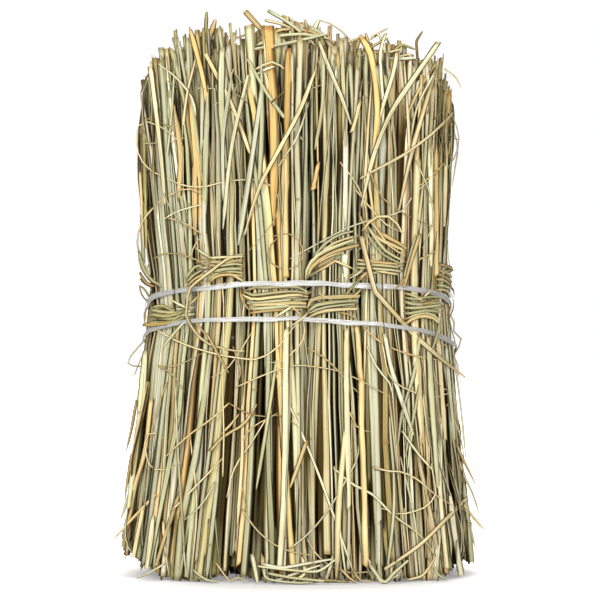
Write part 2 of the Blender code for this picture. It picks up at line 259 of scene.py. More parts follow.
def grassMaterial(name, look):
    sheet = NodeSheet(name)
    tint = sheet.tree.nodes.new("ShaderNodeAttribute")
    tint.attribute_name = "tint"
    colour, seed = Wire(sheet, tint.outputs["Color"]), Wire(sheet, tint.outputs["Alpha"])
    strip = sheet.node("ShaderNodeUVMap", {"uv_map": "strip"}, {})
    around = sheet.node("ShaderNodeSeparateXYZ", {}, {0: strip})
    along = Wire(sheet, around.socket.node.outputs[1])  # both in mm
    section = sheet.node("ShaderNodeUVMap", {"uv_map": "section"}, {})
    turn = sheet.node("ShaderNodeSeparateXYZ", {}, {0: section})
    outward = (turn * fullTurn).maths("SINE")  # 1 where a stalk faces out of the bunch, 0 at its sides
    veins = sheet.noise(sheet.vector(around * look["veinsPerMm"], along * 0.010, seed * 61.0), 3.0, 0.60)
    fine = sheet.noise(sheet.vector(around * 3.4, along * 0.03, seed * 33.0), 2.0)
    blotch = sheet.noise(sheet.vector(around * 0.22, along * 0.035, seed * 87.0), 3.0)
    spots = sheet.noise(sheet.vector(around * 1.1, along * 0.42, seed * 19.0), 2.0, 0.7)

    def multiplied(factor, by):
        return sheet.mixed(factor, colour, sheet.mixed(1.0, colour, by, "MULTIPLY"))

    colour = multiplied(sheet.band(blotch, 0.48, 0.70) * look["blotchStrength"], look["driedColour"])
    colour = multiplied(sheet.band(blotch, 0.44, 0.30) * 0.5, (1.16, 1.14, 1.08, 1))
    colour = multiplied(sheet.band(veins, 0.50, 0.38) * look["veinStrength"], (0.40, 0.345, 0.16, 1))
    colour = multiplied(sheet.band(veins, 0.56, 0.68) * 0.6, (1.18, 1.16, 1.12, 1))
    colour = multiplied(sheet.band(fine, 0.52, 0.42) * 0.30, (0.54, 0.48, 0.30, 1))
    outward = outward.maths("ABSOLUTE")
    # Painted shade: a soft falloff, browner towards the sides of each stalk, as a round stalk shades.
    side = sheet.band(outward + (veins - 0.5) * 0.4, 0.97, 0.52)
    colour = multiplied(side * look["sideShadeStrength"], look["sideShadeColour"])
    # Painted shade: the sides of each stalk darken to near black, where its neighbours would shadow it.
    edgeShade = sheet.band(outward + (veins - 0.5) * 0.5, 0.72, 0.28)
    share = Wire(sheet, turn.socket.node.outputs[1])
    edgeShade = edgeShade * (1 - sheet.band(share, 0.93, 0.99) * 0.6)  # less painted shade at the tips, which are seen from all sides
    colour = multiplied(edgeShade * look["edgeShadeStrength"], look["edgeShadeColour"])
    colour = sheet.mixed(sheet.band(spots, 0.67, 0.74) * 0.6, colour, look["spotColour"])
    offJoint = (((along + seed * 731.0) / look["jointSpacing"]).maths("FRACT") - 0.5).maths("ABSOLUTE")
    jointed = sheet.band(seed, look["jointed"], look["jointed"] + 0.01)
    joint = sheet.band(offJoint * look["jointSpacing"], 1.0, 0.3) * jointed
    colour = sheet.mixed(joint * 0.6, colour, look["jointColour"])
    tipCut = sheet.band(share + blotch * 0.012, 0.992, 1.004)
    cut = sheet.band(along + blotch * 3.0, look["cutLength"], 1.6).maths("MAXIMUM", tipCut)
    colour = multiplied(cut * 0.7, look["cutColour"])
    sheet.feed(sheet.shader.inputs["Base Color"], colour)
    sheet.feed(sheet.shader.inputs["Roughness"], veins * 0.25 + (look["roughness"] - 0.12))
    sheet.shader.inputs["Specular IOR Level"].default_value = look["gloss"]
    height = veins * 0.75 + fine * 0.25 + joint * 0.6
    relief = {"Strength": look["bumpStrength"], "Distance": look["bumpDepth"], "Height": height}
    sheet.feed(sheet.shader.inputs["Normal"], sheet.node("ShaderNodeBump", {}, relief))
    return sheet.material


twineLook = {
    "colour": (0.52, 0.52, 0.505, 1),
    "shadeColour": (0.23, 0.23, 0.22, 1),
    "brightColour": (0.90, 0.90, 0.88, 1),
    "turnedShadeColour": (0.27, 0.27, 0.26, 1),  # painted shade at the left and right of the bunch, where the twine turns away from the light
    "roughness": 0.32,
}


def twineMaterial(name, look):
    sheet = NodeSheet(name)
    strip = sheet.node("ShaderNodeUVMap", {"uv_map": "strip"}, {})
    split = sheet.node("ShaderNodeSeparateXYZ", {}, {0: strip})
    around, along = split, Wire(sheet, split.socket.node.outputs[1])
    fibres = sheet.noise(sheet.vector(around * 2.4, along * 0.05, 3.0), 3.0, 0.6)
    creases = sheet.noise(sheet.vector(around * 0.9, along * 0.16, 9.0), 3.0, 0.6)
    colour = sheet.mixed(sheet.band(fibres, 0.56, 0.36) * 0.75, look["colour"], look["shadeColour"])
    colour = sheet.mixed(sheet.band(creases, 0.55, 0.68) * 0.8, colour, look["brightColour"])
    place = sheet.node("ShaderNodeTexCoord", {}, {}, 3)
    across = sheet.node("ShaderNodeSeparateXYZ", {}, {0: place}).maths("ABSOLUTE")
    # Painted shade: greyer towards both sides of the bunch, where the twine turns away from the light.
    colour = sheet.mixed(sheet.band(across, 0.022, 0.060) * 0.75, colour, look["turnedShadeColour"])
    sheet.feed(sheet.shader.inputs["Base Color"], colour)
    sheet.feed(sheet.shader.inputs["Roughness"], fibres * 0.3 + (look["roughness"] - 0.1))
    bump = sheet.node("ShaderNodeBump", {}, {"Strength": 0.6, "Distance": 0.0003, "Height": fibres + creases})
    sheet.feed(sheet.shader.inputs["Normal"], bump)
    return sheet.material


# ---- one stalk, and many copies of it laid along routes


def stalkForm(name, section, steps):
    # A straight stalk. Its cross-section is within 1 of the middle, and z counts the points of its route.
    bm = bmesh.new()
    mark = bm.verts.layers.int.new("place")
    bmesh.ops.create_circle(bm, segments=len(section), radius=1.0)
    bm.verts.ensure_lookup_table()
    edges = list(bm.edges)
    for i, vertex in enumerate(bm.verts):
        vertex[mark] = i
        vertex.co = (section[i][0] * steps[0][1], section[i][1] * steps[0][1], steps[0][0])
    first = edges
    for z, share in steps[1:]:
        grown = bmesh.ops.extrude_edge_only(bm, edges=edges)["geom"]
        edges = [g for g in grown if isinstance(g, bmesh.types.BMEdge)]
        for vertex in (g for g in grown if isinstance(g, bmesh.types.BMVert)):
            x, y = section[vertex[mark]]
            vertex.co = (x * share, y * share, z)
    for end in (first, edges):
        bmesh.ops.edgeloop_fill(bm, edges=end)
    bmesh.ops.recalc_face_normals(bm, faces=bm.faces)
    strip = bm.loops.layers.uv.new("strip")
    bm.loops.layers.uv.new("section")
    bm.loops.layers.uv.new("OFBake")
    count = len(section)
    for face in bm.faces:
        places = [loop.vert[mark] for loop in face.loops]
        seam = len(places) == 4 and max(places) - min(places) > 1
        for loop, place in zip(face.loops, places):
            loop[strip].uv = ((count if seam and place == 0 else place) / count, loop.vert.co.z)
    mesh = bpy.data.meshes.new(name)
    bm.to_mesh(mesh)
    bm.free()
    return mesh


def ringOf(sides):
    return [(math.cos(fullTurn * i / sides), math.sin(fullTurn * i / sides)) for i in range(sides)]


def hollow(points, wall=0.62, pit=0.06):  # the steps of a stem that is open at both cut ends
    last = points - 1
    return [(pit, wall * 0.8), (0, wall), *solid(points), (last, wall), (last - pit, wall * 0.8)]


def solid(points):
    return [(i, 1.0) for i in range(points)]


leafSection = [
    (1, -0.5), (0.55, 0.25), (0, 0.62), (-0.55, 0.25), (-1, -0.5), (-0.5, -0.25), (0, 0.1), (0.5, -0.25),
]
flatSection = [(1, 0), (0.6, 0.5), (0, 0.72), (-0.6, 0.5), (-1, 0), (-0.55, -0.4), (0, -0.6), (0.55, -0.4)]
filmSection = [  # a folded plastic film
    (1, -0.1), (0.72, 0.85), (0.42, 0.3), (0.05, 1.0), (-0.3, 0.4), (-0.7, 0.9), (-1, 0.0), (-0.5, -0.7),
    (0.1, -0.5), (0.6, -0.8),
]
routePoints = 11  # on a long stalk of a hank
innerPoints = 7  # on one inside it
forms = {
    "stem": stalkForm("stem", ringOf(6), hollow(routePoints)),
    "innerStem": stalkForm("innerStem", ringOf(5), hollow(innerPoints, 0.6, 0.03)),
    "leaf": stalkForm("leaf", leafSection, solid(routePoints)),
    "thread": stalkForm("thread", ringOf(4), solid(routePoints)),
}


def formFor(kind, points):  # a form with that many route points, made once
    key = f"{kind}{points}"
    if key not in forms:
        sections = {
            "leaf": leafSection, "flat": flatSection, "film": filmSection,
            "thread": ringOf(4), "stem": ringOf(8),
        }
        forms[key] = stalkForm(key, sections[kind], hollow(points) if kind == "stem" else solid(points))
    return forms[key]


def unit(v):
    return v / np.maximum(np.linalg.norm(v, axis=-1, keepdims=True), 1e-9)


def linearColour(c):
    return np.where(np.asarray(c) <= 0.04045, np.asarray(c) / 12.92, ((np.asarray(c) + 0.055) / 1.055) ** 2.4)


def growStalks(form, routes, widths, depths, facing, tints, seeds, sheet=(0.0, 1.0), slants=None):
    # routes (n, k, 3), widths and depths (n, k), facing (n, k, 3), tints (n, k, 3), seeds (n,)
    count, points = routes.shape[:2]
    holder = bpy.data.objects.new("holder", form)
    bpy.context.scene.collection.objects.link(holder)
    array = holder.modifiers.new("copies", "ARRAY")
    array.count = count
    array.use_relative_offset = False
    mesh = bpy.data.meshes.new_from_object(holder.evaluated_get(bpy.context.evaluated_depsgraph_get()))
    bpy.data.objects.remove(holder)

    size = len(form.vertices)
    co = np.empty(size * 3)
    form.vertices.foreach_get("co", co)
    co = co.reshape(-1, 3)
    low = np.clip(co[:, 2].astype(int), 0, points - 2)
    part = (co[:, 2] - low)[None, :]

    def between(values):
        share = part[..., None] if values.ndim == 3 else part
        return values[:, low] * (1 - share) + values[:, low + 1] * share

    forward = unit(np.gradient(routes, axis=1))
    out = unit(facing - (facing * forward).sum(-1, keepdims=True) * forward)
    side = np.cross(out, forward)
    width, depth = between(widths)[..., None] / 2, between(depths)[..., None] / 2
    place = between(routes) + between(side) * co[None, :, 0:1] * width
    place = place + between(out) * co[None, :, 1:2] * depth
    if slants is not None:
        for end, at in ((0, 0.0), (1, points - 1.0)):
            ends = (np.abs(co[:, 2] - at) < 0.1)[None, :, None]
            place += ends * between(forward) * co[None, :, 0:1] * width * slants[:, end, None, None]
    place[..., 2] = np.maximum(place[..., 2], 0.0002)  # the floor
    mesh.vertices.foreach_set("co", place.ravel())

    # The tint attribute holds each stalk's colour, with painted shade multiplied in where it was given.
    tint = np.concatenate([between(tints), np.broadcast_to(seeds[:, None, None], (count, size, 1))], axis=2)
    tintLayer = mesh.attributes.new("tint", "FLOAT_COLOR", "POINT")
    tintLayer.data.foreach_set("color", tint.astype(np.float32).ravel())

    loops = len(form.loops)
    corner, uv = np.empty(loops, int), np.empty(loops * 2)
    form.loops.foreach_get("vertex_index", corner)
    form.uv_layers["strip"].uv.foreach_get("vector", uv)
    around = uv.reshape(-1, 2)[:, 0][None, :]
    lengths = np.linalg.norm(np.diff(routes, axis=1), axis=2)
    run = np.concatenate([np.zeros((count, 1)), np.cumsum(lengths, axis=1)], axis=1)
    along = between(run)[:, corner]
    girth = (widths.mean(1) + depths.mean(1))[:, None] * 1.6
    strip = np.stack([around * girth / mm, along / mm], axis=2)
    mesh.uv_layers["strip"].uv.foreach_set("vector", strip.astype(np.float32).ravel())
    share = np.broadcast_to((co[corner, 2] / (points - 1))[None, :], along.shape)
    section = np.stack([np.broadcast_to(around, share.shape), share], axis=2)
    mesh.uv_layers["section"].uv.foreach_set("vector", section.astype(np.float32).ravel())
    column = (sheet[1] - sheet[0]) / count
    u = sheet[0] + column * (np.arange(count)[:, None] + 0.08 + 0.84 * around)
    v = 0.01 + 0.98 * share
    mesh.uv_layers["OFBake"].uv.foreach_set("vector", np.stack([u, v], axis=2).astype(np.float32).ravel())
    return mesh


def bundle(name, meshes, finish, slotName, *nodes):
    # Joins the meshes into one piece that stands for those solids.
    bm = bmesh.new()
    for mesh in meshes:
        bm.from_mesh(mesh)
        bpy.data.meshes.remove(mesh)
    made = newObject(name, bm)
    made.data.shade_smooth()
    made.data.set_sharp_from_angle(angle=math.radians(55))
    made.data.materials.append(finish)
    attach(made, "root")
    if nodes:
        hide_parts(*nodes)
    return made


# ---- the hanks

palette = {
    "sage": (0.765, 0.762, 0.63),
    "greyGreen": (0.71, 0.72, 0.60),
    "silver": (0.765, 0.775, 0.695),
    "pale": (0.845, 0.825, 0.705),
    "cream": (0.88, 0.86, 0.765),
    "straw": (0.845, 0.785, 0.625),
    "gold": (0.87, 0.775, 0.58),
    "orange": (0.87, 0.735, 0.495),
    "tan": (0.745, 0.655, 0.475),
    "pink": (0.77, 0.70, 0.56),
    "brown": (0.53, 0.43, 0.26),
    "olive": (0.62, 0.59, 0.39),
}
mixes = {  # shares of each colour in a hank
    "cool": {
        "sage": 9, "greyGreen": 7, "silver": 6, "pale": 4, "cream": 1.6, "straw": 3.4,
        "gold": 1.6, "orange": 0.7, "tan": 1.6, "pink": 0.8, "brown": 0.4, "olive": 2.5,
    },
    "warm": {
        "sage": 7, "greyGreen": 5, "silver": 4, "pale": 5, "cream": 2.4, "straw": 4.6,
        "gold": 3, "orange": 2.0, "tan": 1.8, "pink": 0.8, "brown": 0.4, "olive": 2,
    },
    "light": {
        "sage": 7.5, "greyGreen": 5, "silver": 5, "pale": 6, "cream": 3, "straw": 4,
        "gold": 2, "orange": 1.0, "tan": 1.2, "pink": 0.6, "brown": 0.2, "olive": 1.8,
    },
}
hankLook = {
    "layers": (0.985, 0.87, 0.72, 0.56, 0.38, 0.18, 0.0),  # how far out each layer of stalks is
    "shades": (1.0, 0.065, 0.02, 0.01, 0.01, 0.01, 0.01),  # painted shade: what is left of a layer's colour between its ends
    "pitch": 1.95 * mm,  # between the stalks of a layer
    "stemWidth": 1.85 * mm,
    "leafShare": 0.62,  # of the two outer layers
    "leafWidth": 3.3 * mm,
    "threads": 8,  # thin fibres laid over each hank
    "strays": 8,  # leaves that cross the others
    "ease": 0.80,  # how far a tied hank keeps its full width, against its solid
    "pinch": 0.045,  # how much the twine draws the whole bunch in
    "creviceWidth": 2.4 * mm,
    "creviceShadeDepth": 0.93,
    "letOutFrom": 0.082,  # the heights between which the waist of its solid is let out
    "letOutTo": 0.172,
    "tallest": 0.0115,
    "outerTallest": 0.0055,
    "leafHeights": (0.0, 0.05, 0.11, 0.15, 0.19, 0.25),
    "leafOpened": (1.0, 0.94, 0.80, 0.80, 1.02, 1.05),  # its width at those heights: folded at the waist
}
# Tie height, height of the tips, how much higher they are at its right, colours, spread of the tips,
# lean above the tie.
hanks = {
    "front_1": (0.1215, 0.2355, 0.0105, "cool", 0.0030, -0.0090),
    "front_2": (0.1410, 0.2420, 0.0, "cool", 0.0060, -0.0060),
    "front_3": (0.1265, 0.2430, 0.0, "warm", 0.0060, -0.0020),
    "front_4": (0.1250, 0.2375, -0.0010, "light", 0.0055, 0.0020),
    "front_5": (0.1420, 0.2355, 0.0, "warm", 0.0055, -0.0020),
    "front_6": (0.1245, 0.2300, -0.0030, "light", 0.0040, 0.0025),
    "side_left": (0.1330, 0.2235, 0.0040, "cool", 0.0040, 0.0),
    "middle_left": (0.1240, 0.2380, 0.0040, "cool", 0.0050, 0.0),
    "middle": (0.1320, 0.2430, 0.0, "warm", 0.0060, 0.0),
    "middle_right": (0.1270, 0.2370, -0.0030, "light", 0.0055, 0.0),
    "side_right": (0.1370, 0.2240, -0.0030, "light", 0.0045, 0.0),
    "back_1": (0.1290, 0.2330, 0.0030, "warm", 0.0050, 0.0060),
    "back_2": (0.1360, 0.2380, 0.0, "cool", 0.0060, -0.0020),
    "back_3": (0.1240, 0.2430, 0.0, "light", 0.0065, 0.0030),
    "back_4": (0.1400, 0.2400, 0.0, "warm", 0.0060, 0.0),
    "back_5": (0.1260, 0.2380, -0.0030, "cool", 0.0060, -0.0040),
    "back_6": (0.1350, 0.2320, -0.0050, "warm", 0.0060, -0.0060),
}
# The upper twine and the lower one: height at the front, sag to the sides, where it is level.
twineRuns = ((0.1341, 0.42, 0.0), (0.1183, 0.62, -0.025))
twineTilt = 0.20  # drop towards the back
twineFront = -0.0425
waist = 0.127  # between the two twines


def twineHeight(number, x, y):
    height, sag, levelAt = twineRuns[number]
    return height - twineTilt * (y - twineFront) - sag * (x - levelAt) ** 2


def smooth(t):
    t = np.clip(t, 0, 1)
    return t * t * (3 - 2 * t)


class Outline:  # a hank's solid, cut level at many heights, and let out again round its tie
    bearings = 48

    def __init__(self, node):
        bm = bmesh.new()
        bm.from_mesh(node.data)
        bmesh.ops.remove_doubles(bm, verts=bm.verts, dist=0.00001)
        self.low, self.high = 0.010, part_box(node.name)[1][2] - 0.038
        self.heights = np.linspace(self.low, self.high, 20)
        wanted = np.arange(self.bearings) * fullTurn / self.bearings
        middles, reaches = [], []
        for z in self.heights:
            whole = bm.verts[:] + bm.edges[:] + bm.faces[:]
            cut = bmesh.ops.bisect_plane(bm, geom=whole, plane_co=(0, 0, z), plane_no=(0, 0, 1))["geom_cut"]
            rim = np.array([v.co[:2] for v in cut if isinstance(v, bmesh.types.BMVert)])
            middle = (rim.min(0) + rim.max(0)) / 2
            arm = rim - middle
            angle = np.arctan2(arm[:, 1], arm[:, 0]) % fullTurn
            order = np.argsort(angle)
            reach = np.interp(wanted, angle[order], np.linalg.norm(arm, axis=1)[order], period=fullTurn)
            reaches.append(np.maximum.reduce([np.roll(reach, k) for k in (-1, 0, 1)]))
            middles.append(middle)
        bm.free()
        self.middles, self.reaches = np.array(middles), np.array(reaches)
        below = int(np.searchsorted(self.heights, hankLook["letOutFrom"])) - 1
        above = int(np.searchsorted(self.heights, hankLook["letOutTo"]))
        for i in range(below + 1, above):
            t = (self.heights[i] - self.heights[below]) / (self.heights[above] - self.heights[below])
            drawn = 1 - hankLook["pinch"] * math.exp(-(((self.heights[i] - waist) / 0.022) ** 2))
            for kept in (self.middles, self.reaches):
                full = (kept[below] * (1 - t) + kept[above] * t) * drawn
                kept[i] = kept[i] * (1 - hankLook["ease"]) + full * hankLook["ease"]

    def middle(self, z):
        step = (z - self.low) / (self.heights[1] - self.low)
        i = np.clip(step.astype(int), 0, len(self.heights) - 2)
        t = (step - i)[..., None]  # runs on past both ends
        return self.middles[i] * (1 - t) + self.middles[i + 1] * t

    def reach(self, angle, z):
        step = np.clip((z - self.low) / (self.heights[1] - self.low), 0, len(self.heights) - 1.001)
        i = step.astype(int)
        t = step - i
        turn = (angle % fullTurn) / fullTurn * self.bearings
        j = turn.astype(int) % self.bearings
        s = turn - turn.astype(int)
        after = (j + 1) % self.bearings
        return (self.reaches[i, j] * (1 - s) + self.reaches[i, after] * s) * (1 - t) + (
            self.reaches[i + 1, j] * (1 - s) + self.reaches[i + 1, after] * s
        ) * t

    def place(self, share, angle, z, inward=0.0):
        distance = (self.reach(angle, z) - inward) * share
        flat = self.middle(z) + np.stack([np.cos(angle), np.sin(angle)], -1) * distance[..., None]
        return np.concatenate([flat, z[..., None]], -1)


outlines = {name: Outline(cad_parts["hank_" + name]) for name in hanks}
stage("read the outlines of the hanks")


def pickTints(dice, mix, count, points, browning=0.25):
    # A colour for each stalk, which drifts along it and browns towards the tip.
    names = list(mixes[mix])
    weights = np.array([mixes[mix][n] for n in names], float)
    picked = np.array([palette[names[i]] for i in dice.choice(len(names), count, p=weights / weights.sum())])
    picked = picked * dice.uniform(0.92, 1.04, (count, 1)) + dice.normal(0, 0.010, (count, 3))
    picked = np.clip(picked, 0.05, 0.97)
    picked[:, 1] = np.minimum(picked[:, 1], picked[:, 0] + 0.010)  # none is fresh green
    base = linearColour(picked)[:, None, :] * np.ones((1, points, 1))
    along = np.linspace(0, 1, points)[None, :, None]
    tipped = dice.random((count, 1, 1)) ** 3 * browning * along**3
    foot = dice.random((count, 1, 1)) ** 2 * 0.22 * (1 - along) ** 4
    brown = linearColour(palette["tan"]) * 0.8
    base = base * (1 - tipped) + brown * tipped
    return base * (1 - foot) + brown * 0.6 * foot


def stalkHeights(dice, tie, foot, tip, points):
    # The heights of a route's points, closer together by the tie.
    steps, heights = [0, 0.16, 0.34, 0.5, 0.66, 0.84, 1], [0, 0.3, 0.72, 1.0, 1.28, 1.7, 2.0]
    shares = np.interp(np.linspace(0, 1, points), steps, heights)
    foot, tip = foot[:, None], tip[:, None]
    return np.where(shares <= 1, foot + (tie - foot) * shares, tie + (tip - tie) * (shares - 1))


def ripple(dice, z, count, low, high):  # a slow wander along a stalk, between -1 and 1
    wave = dice.uniform(low, high, (count, 1))
    phase = dice.uniform(0, fullTurn, (count, 2))
    slow = np.sin(fullTurn * z / wave + phase[:, :1])
    quick = np.sin(fullTurn * z / (wave * 0.43) + phase[:, 1:])
    return 0.65 * slow + 0.35 * quick


def heavy(dice, count, usual, rare, share=0.22):  # mostly small, now and then large
    return np.where(dice.random(count) < share, dice.normal(0, rare, count), dice.normal(0, usual, count))


footLook = {  # how much higher the foot is at both sides, and in a notch below the second hank, in mm
    "side": 0.058, "leftRise": 9.0, "leftFade": 0.018, "rightRise": 6.0, "rightFade": 0.022,
    "notchPlace": -0.0305, "notchWidth": 0.006, "notchRise": 5.0, "notchBehind": -0.030,
}


def footRise(x, y):
    left = smooth((-footLook["side"] - x) / footLook["leftFade"]) * footLook["leftRise"]
    right = smooth((x - footLook["side"]) / footLook["rightFade"]) * footLook["rightRise"]
    notch = footLook["notchRise"] * np.exp(-(((x - footLook["notchPlace"]) / footLook["notchWidth"]) ** 2))
    return (left + right + notch * (y < footLook["notchBehind"])) * mm


def hankRoutes(
    dice, outline, tie, share, angle, foot, top, points, drift, wander, lift=0.0, girth=0.0, twist=0.0
):
    # Routes of stalks that run up the hank. Each is held at the tie, and drifts and wanders away from it.
    count = len(angle)
    z = stalkHeights(dice, tie, foot, top, points)
    middle = outline.middle(z)
    fromTwines = [np.abs(z - twineHeight(k, middle[..., 0], middle[..., 1])) for k in (0, 1)]
    gap = np.minimum.reduce([np.abs(z - tie) - 0.004, *fromTwines])
    away = smooth(gap / 0.022)
    radius = outline.reach(angle[:, None] + z * 0, z)
    fan = np.clip((z - 0.185) / 0.055, 0, 1.3) ** 2
    lean = heavy(dice, (count, 1), 1.3 * mm, 4.5 * mm) * fan
    turn = drift[:, None] * (z - tie) / 0.12 + wander * away * ripple(dice, z, count, 0.10, 0.24) + lean
    turn = turn + twist * np.maximum(z - tie, 0) / 0.11
    turn = angle[:, None] + turn / radius
    shares = share[:, None] + away * wander / radius * 0.6 * ripple(dice, z, count, 0.08, 0.2)
    splay = dice.normal(0.012, 0.055, (count, 1)) * fan
    splay = splay + dice.normal(0.02, 0.05, (count, 1)) * smooth((0.022 - z) / 0.02)
    shares = shares + splay * (share[:, None] > 0.8) + lift * away / radius
    routes = outline.place(np.clip(shares, 0.0, 1.2), turn, z, girth[:, None] if np.ndim(girth) else girth)
    # Stalks at the sides are turned to the front or the back.
    aside = 0.8 * np.cos(turn) ** 2 * np.tanh((np.sin(turn) - 0.25) * 4)
    facing = unit(np.stack([np.cos(turn), np.sin(turn) + aside, z * 0], -1))
    routes[..., 0] -= 3.0 * mm * smooth((routes[..., 0] - 0.045) / 0.035) * smooth(np.abs(z - waist) / 0.03)
    routes[..., 2] += footRise(routes[:, :1, 0], routes[:, :1, 1]) * np.clip(1 - z / 0.045, 0, 1)
    return routes, facing


def dimmed(share):  # what is left of a colour in the shade, which is browner
    return np.asarray(share)[..., None] ** np.array([0.85, 1.0, 1.8])


def shaded(tints, z, shade, tip):  # painted shade: deep inside the bunch a stalk is dark, but for its ends
    shade = np.broadcast_to(np.asarray(shade, float), (len(z),))[:, None]
    seen = np.maximum(smooth((z - (tip - 0.034)) / 0.026), smooth((0.006 - z) / 0.005))
    return tints * dimmed(shade + (1 - shade) * seen)


def creviced(name, routes):  # painted shade: darker where a stalk runs down in the gap between its hank and the next
    z = routes[..., 2]
    room = np.full(z.shape, 1.0)
    for other, outline in outlines.items():
        if other != name:
            arm = routes[..., :2] - outline.middle(z)
            rim = outline.reach(np.arctan2(arm[..., 1], arm[..., 0]), z)
            room = np.minimum(room, np.linalg.norm(arm, axis=-1) - rim)
    split = smooth((z - 0.015) / 0.05) * smooth((0.225 - z) / 0.05)  # the gaps close towards both ends
    creviceShadow = (1 - smooth((room + 0.4 * mm) / hankLook["creviceWidth"])) * split
    return dimmed(1 - hankLook["creviceShadeDepth"] * creviceShadow)


def rolled(facing, turns):  # turned about the vertical
    c, s = np.cos(turns), np.sin(turns)
    x, y = facing[..., 0], facing[..., 1]
    return np.stack([x * c - y * s, x * s + y * c, facing[..., 2]], -1)


def endHeights(dice, tip, spread, count, most, hidden=False):
    level = dice.random(count) < 0.5
    foot = np.where(level, dice.uniform(0.0003, 0.0022, count), dice.uniform(0.0015, 0.0130, count))
    top = tip + dice.normal(0, spread, count)
    short = dice.random(count) < 0.14
    top = np.where(short, tip - dice.uniform(0.006, 0.034, count), top)
    tall = dice.random(count) < (0.02 if hidden else 0.07)
    top = np.clip(top, tip - 0.02, tip + 0.008)
    return foot, np.where(tall, tip + dice.uniform(0.3, 1.0, count) * most, top)


def foldTips(dice, routes, facing, chance, tip):
    # Some leaves are broken near the tip and hang over, outwards or to one side.
    count = len(routes)
    bent = (dice.random(count) < chance) & (routes[:, -1, 2] > tip - 0.006)
    bent &= np.abs(routes[:, -1, 0]) < 0.064
    length = dice.uniform(0.006, 0.013, count)
    heading = facing[:, -1, :2] * dice.uniform(0.0, 0.5, (count, 1))
    heading = heading + dice.normal(0, 0.7, (count, 2)) * (1, 0.6)
    heading /= np.maximum(np.linalg.norm(heading, axis=1, keepdims=True), 0.3)
    fall = dice.uniform(-0.5, 0.9, count)
    end = routes[:, -2] + np.concatenate([heading * length[:, None], -(fall * length)[:, None]], 1)
    routes[:, -1] = np.where(bent[:, None], end, routes[:, -1])
    return bent


